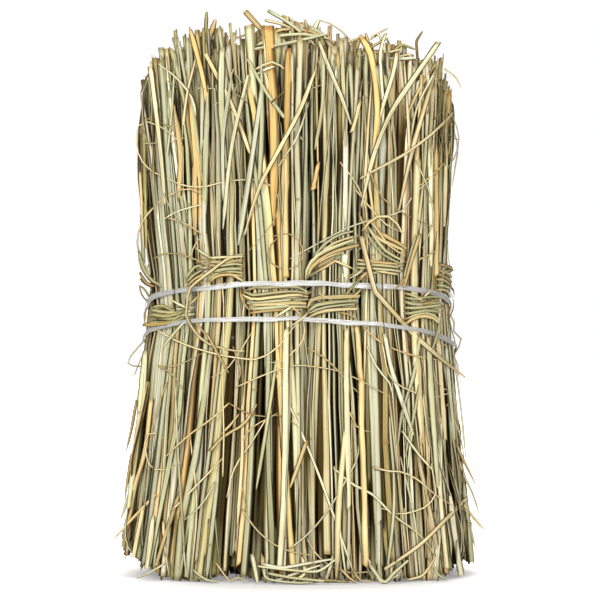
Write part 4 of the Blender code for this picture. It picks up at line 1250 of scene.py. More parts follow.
# Broad stalks that stand out in the hanks, and the loose ends of two wisps.
looseGroup("broad_stalks", "gold_straw", [], [
    ("flat", [(-14, 240.5, -1), (-12.2, 218), (-11.6, 190), (-12.2, 160, -1.5)], 4.8, "orange",
        {"proud": -0.9, "ends": (0.9, 0.4), "dulled": 0.94}),
    ("flat", [(-5.0, 240, -1.5), (-5.6, 222), (-6.2, 200, -1.5)], 3.8, "orange",
        {"proud": -1.0, "ends": (0.8, 0.5), "dulled": 0.85}),
    ("flat", [(-6.2, 205, -1.5), (-6.8, 175), (-6.6, 137)], 4.2, "gold",
        {"proud": -1.0, "ends": (0.5, 0.9), "dulled": 0.96}),
    ("stem", [(-6, 114), (-6.5, 80), (-7, 45), (-9, 6)], 3.4, "pale", {"proud": -1.2, "ends": (0.9, 0.9)}),
    ("leaf", [(27.7, 245), (31, 239.5), (33.5, 228), (34.8, 213), (33.1, 194, -1.2)], 3.6, "orange",
        {"proud": -0.8, "ends": (0.7, 0.5)}),
    ("leaf", [(25.5, 240), (27.8, 245.5), (29.5, 243)], 2.0, "tan"),
    ("leaf", [(38.6, 247), (36.4, 240), (36.5, 228), (37.5, 215), (36.5, 195, -1)], 1.7, "pale",
        {"proud": -0.4}),
    ("leaf", [(43.6, 238), (42.5, 231), (40.5, 224), (37.5, 215), (35.5, 206, -1)], 2.2, "pale",
        {"proud": -0.4}),
    ("flat", [(68, 207), (67.5, 198), (66.4, 191), (60, 183.5), (52.2, 177)], 1.0, "orange"),
    ("stem", [(58.5, 199, -2), (58.7, 170), (58.8, 142, -1.6)], 3.2, "pale",
        {"proud": -1.2, "ends": (0.5, 0.6)}),
    ("stem", [(21, 114), (21, 82), (21.5, 58), (22, 33.5)], 3.0, "cream",
        {"proud": -1.1, "ends": (0.9, 0.7), "dulled": 0.93}),
    ("leaf", [(-49.5, 249, 1), (-47, 240), (-43.5, 226), (-41, 208, -1.5)], 2.8, "orange",
        {"proud": -0.4, "ends": (0.5, 0.4)}),
    ("leaf", [(-35, 240), (-35.5, 220), (-34.5, 195), (-33, 172, -2)], 3.6, "silver",
        {"proud": -0.8, "ends": (0.9, 0.4), "dulled": 0.93}),
    ("leaf", [(-67, 82), (-70.5, 56), (-74.5, 42), (-76.5, 27.5)], 2.8, "gold", {"ends": (0.9, 0.5)}),
    ("leaf", [(-54, 40.5), (-61, 20), (-65, 7)], 2.4, "tan", {"ends": (0.5, 0.8)}),
    ("leaf", [(8.5, 243.5), (14.5, 228), (19, 217.5), (23, 206)], 2.2, "pale"),
    ("stem", [(27, 216), (25.5, 210), (23.5, 203)], 2.0, "gold", {"ends": (1, 1)}),
    ("stem", [(8.5, 189), (7, 182), (6, 177)], 2.2, "orange", {"ends": (0.6, 1.2)}),
    ("leaf", [(3, 63.5), (-1, 52), (-4.5, 42.5)], 2.2, "tan"),
    ("leaf", [(-40.5, 59), (-35, 65), (-25, 71.5), (-19.5, 80)], 1.7, "tan"),
    ("leaf", [(-35.5, 66.5), (-31, 71), (-27.5, 75.5)], 1.4, "tan"),
    ("leaf", [(54.0, 110.5), (51.4, 94), (46, 76), (44, 62)], 2.2, "greyGreen", {"proud": -0.4}),
    ("leaf", [(53.5, 203, -2), (52.8, 180), (51.8, 157), (51.6, 118), (53, 90), (56, 55, -2)], 5.0, "straw",
        {"proud": -1.1, "ends": (0.5, 0.5), "cup": 0.3}),
    ("leaf", [(61, 230.5, -0.5), (56.5, 215), (51.5, 198), (44.5, 167, -1)], 2.6, "straw",
        {"proud": -0.3, "ends": (0.9, 0.4)}),
    ("stem", [(25.2, 116, -0.8), (26, 108), (27.5, 87)], 3.0, "gold", {"proud": -1.1, "ends": (0.8, 1.0)}),
    ("flat", [(67.5, 40, -1), (69.6, 22), (72.6, 3)], 3.2, "cream", {"proud": -0.3, "ends": (0.5, 1.0)}),
    ("flat", [(73.5, 45, -0.8), (76.0, 24), (77.2, 9)], 2.6, "sage", {"proud": -0.2, "ends": (0.5, 1.0)}),
    ("flat", [(68.5, 107), (72, 82, 0.8), (74.6, 56)], 1.3, "pale", {"ends": (0.5, 0.4)}),
    ("flat", [(62, 60, -1), (63.8, 30), (66.2, 6)], 2.8, "pale", {"proud": -0.4, "ends": (0.5, 0.9)}),
    ("flat", [(-69.5, 104, -0.8), (-71.5, 80), (-74, 58), (-77.2, 33)], 3.8, "sage", {"ends": (0.6, 0.5)}),
    ("flat", [(-73.5, 82, -0.4), (-76, 68), (-78.3, 58.5)], 1.7, "tan", {"ends": (0.8, 0.3)}),
    ("flat", [(-75.6, 58), (-77.4, 48), (-78.8, 37)], 1.6, "tan", {"ends": (0.8, 0.4)}),
    ("flat", [(-75, 48), (-78, 36), (-80.6, 28.5)], 1.9, "sage", {"ends": (0.8, 0.5)}),
    ("flat", [(-75.5, 34), (-77.8, 24), (-79.6, 16)], 2.2, "tan", {"ends": (0.8, 0.8)}),
    ("flat", [(-70.5, 34, -0.6), (-73.2, 20), (-75, 11)], 2.6, "straw", {"ends": (0.6, 0.9)}),
    ("flat", [(-66, 30, -0.6), (-67.6, 16), (-69, 6)], 2.8, "pale", {"ends": (0.6, 0.9)}),
    ("flat", [(-70.2, 203), (-70, 185), (-69.2, 150, -1)], 2.2, "olive", {"ends": (1.0, 0.4)}),
    ("flat", [(-72.0, 184.5), (-71.3, 172), (-70.3, 150, -1)], 1.6, "gold", {"ends": (1.0, 0.4)}),
    ("flat", [(-71.3, 166), (-70.8, 155), (-70.2, 140, -1)], 2.2, "greyGreen", {"ends": (1.0, 0.5)}),
    ("leaf", [(-67.4, 232), (-65.2, 215), (-63, 195), (-60.8, 170, -1.5)], 2.8, "pale",
        {"proud": -0.3, "ends": (1.0, 0.4)}),
    ("stem", [(20.5, 205, -2), (20.3, 180), (20.3, 156, -1.8)], 3.0, "cream",
        {"proud": -1.2, "ends": (0.5, 0.9)}),
    ("stem", [(20.3, 149, -2.2), (20.4, 142, -0.6), (20.5, 135, -1.8)], 3.0, "cream",
        {"proud": -1.2, "ends": (0.9, 0.9)}),
    ("leaf", [(38.2, 111.5), (41.2, 96), (47, 78), (51, 66)], 2.6, "silver", {"proud": -0.2}),
    ("flat", [(57.8, 110, -1.5), (58.8, 90), (60.6, 64), (62, 42, -2)], 3.4, "sage",
        {"proud": -0.9, "ends": (0.7, 0.5)}),
    ("flat", [(62.2, 109, -1.5), (63.6, 88), (65.4, 64, -1.5)], 3.0, "straw",
        {"proud": -0.8, "ends": (0.7, 0.5)}),
    ("flat", [(65.8, 106, -1.5), (67.4, 86), (69.6, 64, -1.5)], 2.2, "silver",
        {"proud": -0.7, "ends": (0.7, 0.5)}),
    ("flat", [(61.0, 200, -2), (61.3, 175), (61.4, 138, -1.5)], 2.8, "gold",
        {"proud": -1.0, "ends": (0.5, 0.8), "dulled": 0.95}),
    ("flat", [(65.6, 198, -2), (65.4, 178), (65.0, 160, -1.8)], 2.8, "straw",
        {"proud": -0.9, "ends": (0.5, 0.5)}),
    ("flat", [(-47.2, 190, -2), (-47.4, 170), (-47.2, 156, -1.6)], 3.4, "tan",
        {"proud": -1.0, "ends": (0.5, 0.6)}),
])
# The strands of each tie that face the camera, as (across, up) routes.
tieStrands = {
    "front_1": [
        ([(-67.2, 122.6), (-62.1, 121.5), (-53.4, 121.2)], 1.9, "silver"),
        ([(-67.2, 120.6), (-60.9, 119.8), (-55.7, 120.6), (-52.9, 121.8)], 2.1, "sage"),
        ([(-68.7, 118.6), (-62.1, 118.6), (-56.3, 118.6), (-53.4, 120.1)], 1.9, "greyGreen"),
        ([(-66.6, 123.5), (-62.1, 124.4), (-58, 122.4), (-54.6, 120.1)], 1.5, "sage"),
        ([(-68, 117), (-62, 116.8), (-55.5, 117.5), (-52.5, 119)], 1.5, "greyGreen"),
        ([(-70.7, 115.8), (-65.5, 115.8), (-58, 116.6)], 1.9, "tan"),
        ([(-72.3, 133.3), (-70.5, 132.2), (-68.5, 129.5), (-66.8, 126.0)], 1.0, "sage"),
        ([(-72.1, 139.4), (-70.2, 136.0), (-68.0, 133.8), (-65.5, 133.2)], 1.6, "tan"),
        ([(-71.9, 136.6), (-69.5, 134.2), (-66.0, 132.4)], 1.1, "brown"),
        ([(-72.3, 133.3), (-71.3, 129.5), (-69.0, 126.6), (-66.8, 125.4)], 0.8, "tan"),
        ([(-67.5, 125.8), (-69.8, 121.2), (-69.8, 116.6)], 0.9, "tan"),
        ([(-72.4, 149), (-70.7, 141.3), (-67.2, 136.1), (-62.6, 133.3)], 2.0, "silver"),
    ],
    "front_2": [
        ([(-41.4, 145.9), (-33.9, 146.2), (-25.9, 146.5)], 1.2, "pale"),
        ([(-41.4, 144.2), (-33.9, 143.9), (-26.2, 145)], 1.5, "straw"),
        ([(-41.4, 142.8), (-36, 142.2), (-29.3, 143.2), (-25.9, 142.6)], 1.5, "sage"),
        ([(-39.4, 139.6), (-32.2, 140.9), (-26.2, 140.9)], 1.8, "greyGreen"),
        ([(-41.4, 135.6), (-37.4, 139), (-31.6, 139.9), (-25.9, 138.9)], 1.6, "sage"),
        ([(-40.8, 134.6), (-38.5, 137), (-32.2, 138.3), (-25.9, 137.6)], 1.4, "tan"),
        ([(-25.6, 146.4), (-25.1, 141.9), (-25.6, 137.5)], 1.0, "tan"),
        ([(-51.4, 136.1), (-49.4, 139.6), (-45.4, 142.4), (-43.7, 141.3)], 1.5, "sage"),
        ([(-51.1, 135), (-47.7, 138.2), (-44.3, 140.2)], 1.5, "greyGreen"),
        ([(-50.6, 134.1), (-46.6, 135), (-43.7, 135.6)], 1.3, "tan"),
        ([(-50.9, 133), (-46.6, 137), (-43, 138.4)], 1.2, "tan"),
    ],
    "front_3": [
        ([(-24.5, 131.2), (-23.2, 132.2), (-17.9, 132.4), (-9.3, 132.7), (0.5, 132.1), (3.4, 130.5)], 1.5,
            "pale"),
        ([(-25.6, 130.9), (-23.6, 129.6), (-12.1, 130.2), (-0.6, 130.7), (3.4, 129.9)], 1.4, "sage"),
        ([(-25.9, 129.2), (-23.0, 127.7), (-12.1, 128.2), (1.6, 129.0), (3.8, 128.4)], 1.6, "straw"),
        ([(-24.2, 127.6), (-22.6, 126.2), (-12.1, 126.4), (-3.5, 126.9), (3.8, 127.2)], 1.4, "sage"),
        ([(-21.9, 124.7), (-12.1, 124.9), (-6.4, 125.4), (2.8, 125.3)], 1.6, "straw"),
        ([(-22.5, 122.8), (-12.1, 123.5), (-6.4, 123.9), (2.8, 123.8)], 1.5, "greyGreen"),
        ([(-22.7, 121.0), (-17.9, 121.7), (-6.4, 122.6), (1.0, 122.6)], 1.3, "tan"),
        ([(-25.4, 129.9), (-26.2, 128.2), (-24.8, 126.6)], 1.2, "straw"),
        ([(-26.8, 131.5), (-26.4, 128.0), (-24.5, 124.5), (-22.5, 122)], 1.1, "tan"),
    ],
    "front_4": [
        ([(3.1, 122.9), (5.2, 127.0), (13.4, 128.1), (26.9, 128.6)], 2.0, "straw"),
        ([(3.6, 121.9), (7, 124.4), (12.9, 125.7), (25.3, 126.7)], 1.7, "sage"),
        ([(3.9, 120.8), (8.3, 122.9), (15.5, 124.3), (24.8, 125.2)], 1.3, "greyGreen"),
        ([(3.4, 118.8), (8.3, 121.4), (15.5, 122.5), (25.8, 122.9)], 1.8, "straw"),
        ([(17.5, 121.2), (21, 120.6), (25.3, 118.4)], 0.8, "tan"),
        ([(2.6, 135.8), (3.6, 141.5), (8.3, 147.2), (15.5, 150.8), (24.3, 153.9)], 2.0, "sage"),
        ([(3.1, 136.9), (5.2, 141.6), (9.8, 145.6), (17, 149.2), (26.3, 151.6)], 2.2, "tan"),
        ([(3.6, 138.4), (6.2, 143.6), (10.3, 148.8), (15.4, 152.6), (23.8, 155.4)], 1.4, "straw"),
        ([(5.2, 144.2), (8.3, 149.2), (12.4, 153.2), (18, 156.4), (24, 157.8)], 1.4, "greyGreen"),
        ([(2.2, 133.8), (3.2, 138.5), (7.4, 142.9), (13, 146.5), (19, 148.3)], 1.3, "straw"),
    ],
    "front_5": [
        ([(24.8, 145.1), (31, 144.4), (43.9, 143.1)], 1.4, "tan"),
        ([(25, 143.2), (33, 142.9), (43.9, 141.7)], 1.5, "pale"),
        ([(25, 141.5), (33.6, 141), (43.9, 140.2)], 1.6, "sage"),
        ([(34.2, 139.9), (38, 139.4), (43.9, 138.4)], 1.3, "straw"),
        ([(33.6, 156.4), (36, 154.2), (41.3, 151.8), (46.5, 149.3)], 1.9, "straw"),
        ([(36, 157.5), (40.3, 154.6), (44.4, 152.5), (48, 149.9)], 1.8, "tan"),
        ([(30.5, 160), (34, 155), (38.2, 149.3), (46.5, 144.6)], 1.6, "sage"),
        ([(29.5, 158), (33, 152.4), (37.4, 147.4), (45.5, 143.2)], 1.2, "greyGreen"),
        ([(31.5, 162.5), (35, 158.5), (39, 152.5), (47.2, 146.6)], 1.3, "straw"),
        ([(46.5, 144.1), (50.6, 144.1), (56.8, 146.7), (61.5, 149.3)], 0.9, "straw"),
        ([(54.2, 156.9), (50.9, 147.2), (48.6, 139.4), (47, 132.8)], 1.9, "tan"),
        ([(52.2, 155.9), (49.2, 146.2), (47.2, 138.4), (46.4, 133.2)], 1.3, "sage"),
        ([(28, 158), (33, 163.5), (38, 165), (43, 162), (46, 157)], 1.3, "straw"),
        ([(26.5, 166), (28.5, 161), (33, 156.5), (31, 152)], 1.2, "tan"),
    ],
    "front_6": [
        ([(46.8, 130.1), (50.6, 129.1), (54.8, 127)], 1.2, "sage"),
        ([(46.8, 126.3), (50.6, 125.2), (56.8, 125.2), (63, 125.9)], 1.7, "silver"),
        ([(46.8, 123.4), (51.7, 123.2), (56.8, 123.7), (63, 124.6)], 1.9, "sage"),
        ([(46.8, 120.8), (50.6, 121.0), (56.3, 122.2), (62.5, 121.6)], 1.6, "greyGreen"),
        ([(47.3, 116.2), (50.6, 118.3), (55.8, 119.8), (59.9, 118.8), (62.5, 116.7)], 1.9, "straw"),
        ([(47.3, 118.2), (51.5, 119.9), (57, 121.0), (61, 119.6), (63, 117.2)], 1.2, "sage"),
        ([(54.2, 125), (58.4, 125.7), (61.5, 127.3)], 1.2, "tan"),
        ([(46.8, 128.2), (52, 127.2), (58, 128.4), (63, 128.2)], 1.3, "greyGreen"),
    ],
    "side_right": [
        ([(61.5, 143.1), (65.1, 142.5), (68.7, 140.5), (66.6, 138.9)], 1.5, "tan"),
        ([(61.5, 140.4), (65.1, 139.5), (68.4, 137.2)], 1.4, "straw"),
        ([(61.5, 138.6), (65.1, 137.5), (68.2, 134.8)], 1.6, "tan"),
        ([(61.2, 136.3), (64.6, 135.8), (68.2, 133.4)], 1.5, "straw"),
        ([(61, 133.6), (64, 133.4), (67.7, 132.2)], 1.5, "sage"),
        ([(61, 131.4), (66.1, 131.0), (67.6, 128.1)], 1.4, "straw"),
    ],
}
tieDulled = {
    "front_1": 0.82, "front_2": 0.90, "front_3": 0.94, "front_4": 0.95, "front_5": 0.93, "front_6": 0.90,
    "side_right": 0.90,
}
for hank, rows in tieStrands.items():
    laidStrands = []
    for order, (points, width, colour) in enumerate(rows):
        options = {"proud": 0.3 + 0.05 * order, "ends": (0.6, 0.6), "cup": 0.6, "dulled": tieDulled[hank]}
        laidStrands.append(("flat", points, width * looseLook["tieWidth"], colour, options))
    looseGroup("tie_" + hank + "_front_strands", "wisp", [], laidStrands)
stage("laid the broad stalks")

# Thin curls, as the photograph shows them.
curls = {
    "curls_upper": [
        ([(-69, 207), (-73, 205), (-73.5, 200), (-72, 191), (-68, 186), (-60.5, 182), (-50, 178),
            (-42.5, 178), (-34.5, 180), (-24.5, 181), (-17.5, 180.5), (-11.5, 176.5), (-9.5, 171.5),
            (-10.5, 166), (-13, 160.5), (-19, 153.5), (-24, 148)], 0.75, "straw"),
        ([(-70.5, 209), (-66.5, 208), (-59, 205), (-52, 199.5)], 0.9, "tan"),
        ([(-69.5, 207.5), (-62, 204.5), (-53, 197)], 0.7, "straw"),
        ([(-65, 170), (-58, 174.5), (-50, 177), (-45, 175), (-43, 171.5)], 0.9, "gold"),
        ([(-66, 168.5), (-70.5, 163), (-73, 150), (-70, 143), (-63, 132.5)], 1.2, "straw"),
        ([(-61, 163.5), (-56, 166.5), (-48, 169), (-41.5, 170.5)], 0.8, "cream"),
        ([(-60, 164), (-52, 161.5), (-43.5, 156)], 0.9, "tan"),
        ([(-66, 145.5), (-63, 147), (-56, 148), (-49, 146), (-42, 142.5), (-33.5, 133)], 0.8, "tan"),
        ([(-62, 176), (-57, 166), (-49, 158)], 0.7, "sage"),
        ([(-4.5, 145.5), (6.5, 151.5), (23, 160), (33.5, 163.5), (47, 168), (50.5, 173.5), (61, 183),
            (68, 192.5)], 0.75, "cream"),
        ([(65, 231), (70, 227), (72.5, 222.5)], 0.8, "straw"),
        ([(68.5, 207), (70, 200), (71, 196), (70, 188), (68.5, 178)], 0.8, "straw"),
        ([(67, 213), (70.5, 205), (71.5, 198), (69, 190), (64, 183)], 0.6, "sage"),
        ([(24, 178), (32, 168), (40, 160), (47, 157)], 0.8, "straw"),
        ([(31, 185), (38, 172), (50, 164), (60, 160)], 0.7, "tan"),
        ([(18, 189), (26, 178), (30, 165), (29, 153)], 0.8, "straw"),
        ([(52, 190), (58, 176), (60, 163), (55, 150)], 0.8, "sage"),
        ([(-28, 225), (-33, 208), (-34, 192)], 0.7, "tan"),
        ([(-42, 204), (-45, 190), (-43, 176)], 0.7, "tan"),
        ([(-20, 228), (-16, 230.5), (-11.5, 232)], 1.5, "cream"),
        ([(-20.5, 230.5), (-12, 234), (-7, 231), (-3, 226.5)], 1.3, "straw"),
    ],
    "curls_waist": [
        ([(-64.5, 113.5), (-55.5, 108.5), (-43, 104), (-29, 101), (-19, 100.5), (-11, 105), (-1.5, 116.5)],
            1.0, "straw"),
        ([(-66, 113.5), (-76.5, 97.5), (-71.5, 97), (-55.5, 97.5), (-43, 103.5)], 0.7, "tan"),
        ([(-70.5, 103), (-73, 97), (-75, 92)], 0.6, "tan"),
        ([(-64, 97.5), (-57.5, 93.5), (-52, 85.5)], 0.8, "tan"),
        ([(-29, 87.5), (-19, 92), (0, 97.5), (5.5, 97), (18.5, 94.5), (28.5, 90), (41, 83)], 0.8, "straw"),
        ([(28.5, 114.5), (37, 107.5), (44.5, 104), (55.5, 101), (64.5, 99.5)], 0.9, "tan"),
        ([(3.5, 105.5), (11.5, 100.5), (19, 93), (28.5, 82.5)], 0.8, "tan"),
        ([(37, 107.5), (42, 90.5), (50, 86), (60, 83), (67, 85)], 0.9, "straw"),
        ([(-22, 112), (-27, 104), (-33, 96), (-40, 92)], 0.8, "straw"),
        ([(-42, 112), (-36, 101), (-32, 94)], 1.2, "tan"),
        ([(-47, 117), (-40, 108), (-35, 100)], 0.9, "tan"),
        ([(65, 128.5), (67.2, 126.4), (68.4, 123.5), (67.3, 120.6), (69.4, 117.5), (68.4, 114),
            (71.8, 110.6), (73, 107.4), (71.2, 105.4), (69.3, 103.2), (70, 99.6), (71.6, 96.2),
            (71.3, 92.6), (73, 89)], 0.75, "tan"),
        ([(66, 121), (67.7, 117), (68.4, 112), (70.2, 107), (69.0, 102.5)], 0.6, "olive"),
        ([(-26, 117), (-25, 131), (-27, 140)], 0.8, "straw"),
        ([(30, 106), (35, 96), (41, 88), (42, 80)], 1.1, "sage"),
    ],
    "curls_lower": [
        ([(-32, 80.5), (-38.5, 74.5), (-50, 66), (-61, 56)], 1.0, "gold"),
        ([(-32, 80.5), (-23.5, 76), (-16.5, 74.5), (-9, 75), (-3.5, 72), (0, 69.5)], 0.7, "tan"),
        ([(20, 80.5), (23, 75), (26.5, 69), (32, 67.5)], 1.0, "tan"),
        ([(32.5, 52), (39, 50), (46, 49.5), (51.5, 47), (62, 38.5), (69.5, 34)], 1.0, "straw"),
        ([(15, 51.5), (23, 44.5), (32.5, 39.5), (41, 31), (55.5, 19.5), (60.5, 12.5)], 1.2, "sage"),
        ([(-4.5, 15), (3, 21), (16, 37.5), (21, 46.5), (26, 56.5), (26, 66.5)], 1.0, "cream"),
        ([(3, 20), (6, 14.5), (12.5, 8), (21, 4.5), (35.5, 5)], 1.0, "straw"),
        ([(-13, 77), (-21, 64), (-30, 50), (-33, 38)], 0.9, "straw"),
        ([(-60, 90), (-66, 72), (-68, 60)], 0.9, "tan"),
        ([(66, 80), (72, 66), (74, 55)], 0.9, "straw"),
        ([(46, 68), (53, 58), (60, 50)], 1.4, "sage"),
        ([(-38, 45), (-45, 34), (-52, 28)], 1.1, "sage"),
        ([(-10, 76), (-24, 67), (-27, 50), (-24, 32)], 0.7, "tan"),
        ([(-26, 33), (-20, 24), (-8, 15), (5, 12)], 0.8, "straw"),
    ],
}


randomCurlLook = {  # in mm
    "heights": (12, 228),
    "limits": (2, 236),
    "aside": 3,  # how far past the half width it may reach
    "bend": 0.45,  # the same at every point of a curl
    "waver": 0.25,
    "pieces": (3, 9),
    "pieceLength": (4, 9),
    "widths": (0.5, 1.0),
    "colours": ["straw", "tan", "tan", "straw"],
}


def randomCurls(dice, side, count, halfWidth):
    look = randomCurlLook
    least, most = look["limits"]
    reach = halfWidth + look["aside"]
    stalks = []
    for _ in range(count):
        at = np.array([dice.uniform(-halfWidth, halfWidth), dice.uniform(*look["heights"])])
        heading, bend = dice.uniform(0, fullTurn), dice.normal(0, look["bend"])
        points = [tuple(at)]
        for _ in range(int(dice.integers(*look["pieces"]))):
            heading += bend + dice.normal(0, look["waver"])
            at = at + np.array([math.cos(heading), math.sin(heading)]) * dice.uniform(*look["pieceLength"])
            at = np.clip(at, [-reach, least], [reach, most])
            points.append(tuple(at))
        width, colour = dice.uniform(*look["widths"]), str(dice.choice(look["colours"]))
        stalks.append(("thread", points, width, colour, {"side": side, "proud": 0.2, "least": 0.95}))
    return stalks


strayLook = {  # in mm
    "upperShare": 0.52,  # of the strays, above the twine
    "upperFoot": (139, 205),
    "upperLength": (30, 100),
    "highest": 238,
    "lowerTop": (45, 113),
    "lowerLength": (30, 105),
    "lowest": 1.5,
    "upperLifts": (-1.8, 0.1, 0.2),  # the end in the hanks is sunk
    "lowerLifts": (0.1, 0.1, -1.8),
    "leaningShare": 0.3,
    "leaningSlope": 0.25,
    "usualSlope": 0.10,
    "leafShare": 0.75,
    "leafWidth": 1.9,
    "stemWidth": 1.5,
    "widthLimits": (0.8, 3.4),
    "colours": ["sage", "sage", "greyGreen", "greyGreen", "silver", "pale", "straw", "tan"],
}


def randomStrays(dice, side, count, halfWidth):
    # Long leaves and stems that lean across the hanks, above the twine or below it.
    look = strayLook
    stalks = []
    for _ in range(count):
        if dice.random() < look["upperShare"]:
            low = dice.uniform(*look["upperFoot"])
            high = min(low + dice.uniform(*look["upperLength"]), look["highest"])
            lifts = look["upperLifts"]
        else:
            high = dice.uniform(*look["lowerTop"])
            low = max(high - dice.uniform(*look["lowerLength"]), look["lowest"])
            lifts = look["lowerLifts"]
        leaning = dice.random() < look["leaningShare"]
        slope = dice.normal(0, look["leaningSlope"] if leaning else look["usualSlope"])
        across = dice.uniform(-halfWidth, halfWidth)
        middle = (low + high) / 2
        ends = [across + slope * (z - middle) + dice.normal(0, 0.6) for z in (low, middle, high)]
        ends[1] += dice.normal(0, 0.02) * (high - low)
        ends = np.clip(ends, -halfWidth - 1, halfWidth + 1)
        kind = "leaf" if dice.random() < look["leafShare"] else "stem"
        width = float(np.clip(dice.lognormal(math.log(look[kind + "Width"]), 0.32), *look["widthLimits"]))
        colour = str(dice.choice(look["colours"]))
        points = list(zip(ends, (low, middle, high), lifts))
        proud = dice.uniform(-0.5, 0.2)
        options = {"side": side, "proud": proud, "ends": (0.35, dice.choice([0.25, 0.7])), "least": 0.95}
        stalks.append((kind, points, width, colour, options))
    return stalks


for name, rows in curls.items():
    laidCurls = []
    for points, width, colour in rows:
        kind = "thread" if width < looseLook["flatFrom"] else "flat"
        laidCurls.append((kind, points, width, colour, {"proud": 0.5}))
    looseGroup(name, "straw", [], laidCurls)
sides = {  # azimuth, half the width to cover, stray stalks, curls
    "front": (0, 66, 30, 7),
    "right": (90, 36, 36, 18),
    "back": (180, 66, 70, 40),
    "left": (-90, 36, 36, 18),
}
for number, (name, (side, halfWidth, strayCount, curlCount)) in enumerate(sides.items()):
    dice = np.random.default_rng(8100 + number)
    looseGroup("strays_" + name, "green_straw", [], randomStrays(dice, side, strayCount, halfWidth))
    looseGroup("curls_" + name, "straw", [], randomCurls(dice, side, curlCount, halfWidth))
stage("laid the strays and the curls")


# ---- the ragged ends

fringeLook = {
    "topPerHank": 15,
    "footPerHank": 12,
    "points": 7,
    "belowTips": (0.018, 0.045),  # where a leaf of the tips starts
    "footStart": (0.012, 0.034),
    "topWidths": (1.0, 3.6),  # in mm
    "footWidths": (0.8, 2.6),
    "widest": 0.070,  # past this half width, leaves of the tips lean out by only 3 mm
}


def growFringe(name, top):
    # Short broken leaves among the tips, or splayed round the foot.
    parts = []
    for number, (hank, (tie, tip, rise, mix, *_)) in enumerate(hanks.items()):
        dice = np.random.default_rng(9100 + number + 50 * top)
        count = fringeLook["topPerHank"] if top else fringeLook["footPerHank"]
        points = fringeLook["points"]
        progress = np.linspace(0, 1, points)[None, :]
        outline = outlines[hank]
        angle = dice.uniform(0, fullTurn, (count, 1))
        if top:
            share = np.sqrt(dice.uniform(0.1, 1.0, (count, 1)))
            start = tip - dice.uniform(*fringeLook["belowTips"], (count, 1))
        else:
            share = np.ones((count, 1)) * 0.97
            start = dice.uniform(*fringeLook["footStart"], (count, 1))
        base = outline.place(share, angle, start)
        heading = angle + dice.normal(0, 1.0, (count, 1))
        if top:
            reach = np.clip(np.abs(heavy(dice, (count, 1), 4 * mm, 10 * mm, 0.3)), 0, 18 * mm)
            outside = np.abs(base[:, :1, 0] + np.cos(heading) * reach) > fringeLook["widest"]
            reach = np.where(outside, np.minimum(reach, 3 * mm), reach)
        else:
            reach = dice.uniform(0.5, 6.0, (count, 1)) * mm
        if "back" in hank:
            reach = np.where(np.sin(heading) > 0, np.minimum(reach, 5 * mm), reach)
        if top:
            end = tip + rise * np.cos(angle) + dice.normal(-0.004, 0.005, (count, 1))
        else:
            end = dice.uniform(0.0004, 0.004, (count, 1))
        droop = dice.uniform(0, 0.010, (count, 1)) * (dice.random((count, 1)) < 0.4) * top
        if not top:
            raised = footRise(base[..., 0], base[..., 1])
            start, end = start + raised, end + raised
        z = start + (end - start) * progress - droop * np.clip(progress - 0.5, 0, 1) ** 2 * 4
        out = reach * progress ** dice.uniform(1.3, 2.4, (count, 1))
        flat = base[..., :2] + np.stack([np.cos(heading) * out, np.sin(heading) * out], -1)
        routes = np.concatenate([flat, z[..., None]], -1)
        broad = dice.uniform(*fringeLook["topWidths" if top else "footWidths"], (count, 1))
        width = broad * mm * (1 - 0.75 * progress**2 * (dice.random((count, 1)) < 0.6))
        facing = np.stack([np.cos(angle) + z * 0, np.sin(angle) + z * 0, z * 0], -1)
        tints = pickTints(dice, mix, count, points, 0.6)
        sheet = (number / len(hanks), (number + 1) / len(hanks))
        form, seeds, slants = formFor("leaf", points), dice.random(count), dice.normal(0, 0.8, (count, 2))
        parts.append(growStalks(form, routes, width, width * 0.4, facing, tints, seeds, sheet, slants))
    return bundle(name, parts, grass, "straw")


growFringe("top_fringe", True)
growFringe("foot_fringe", False)

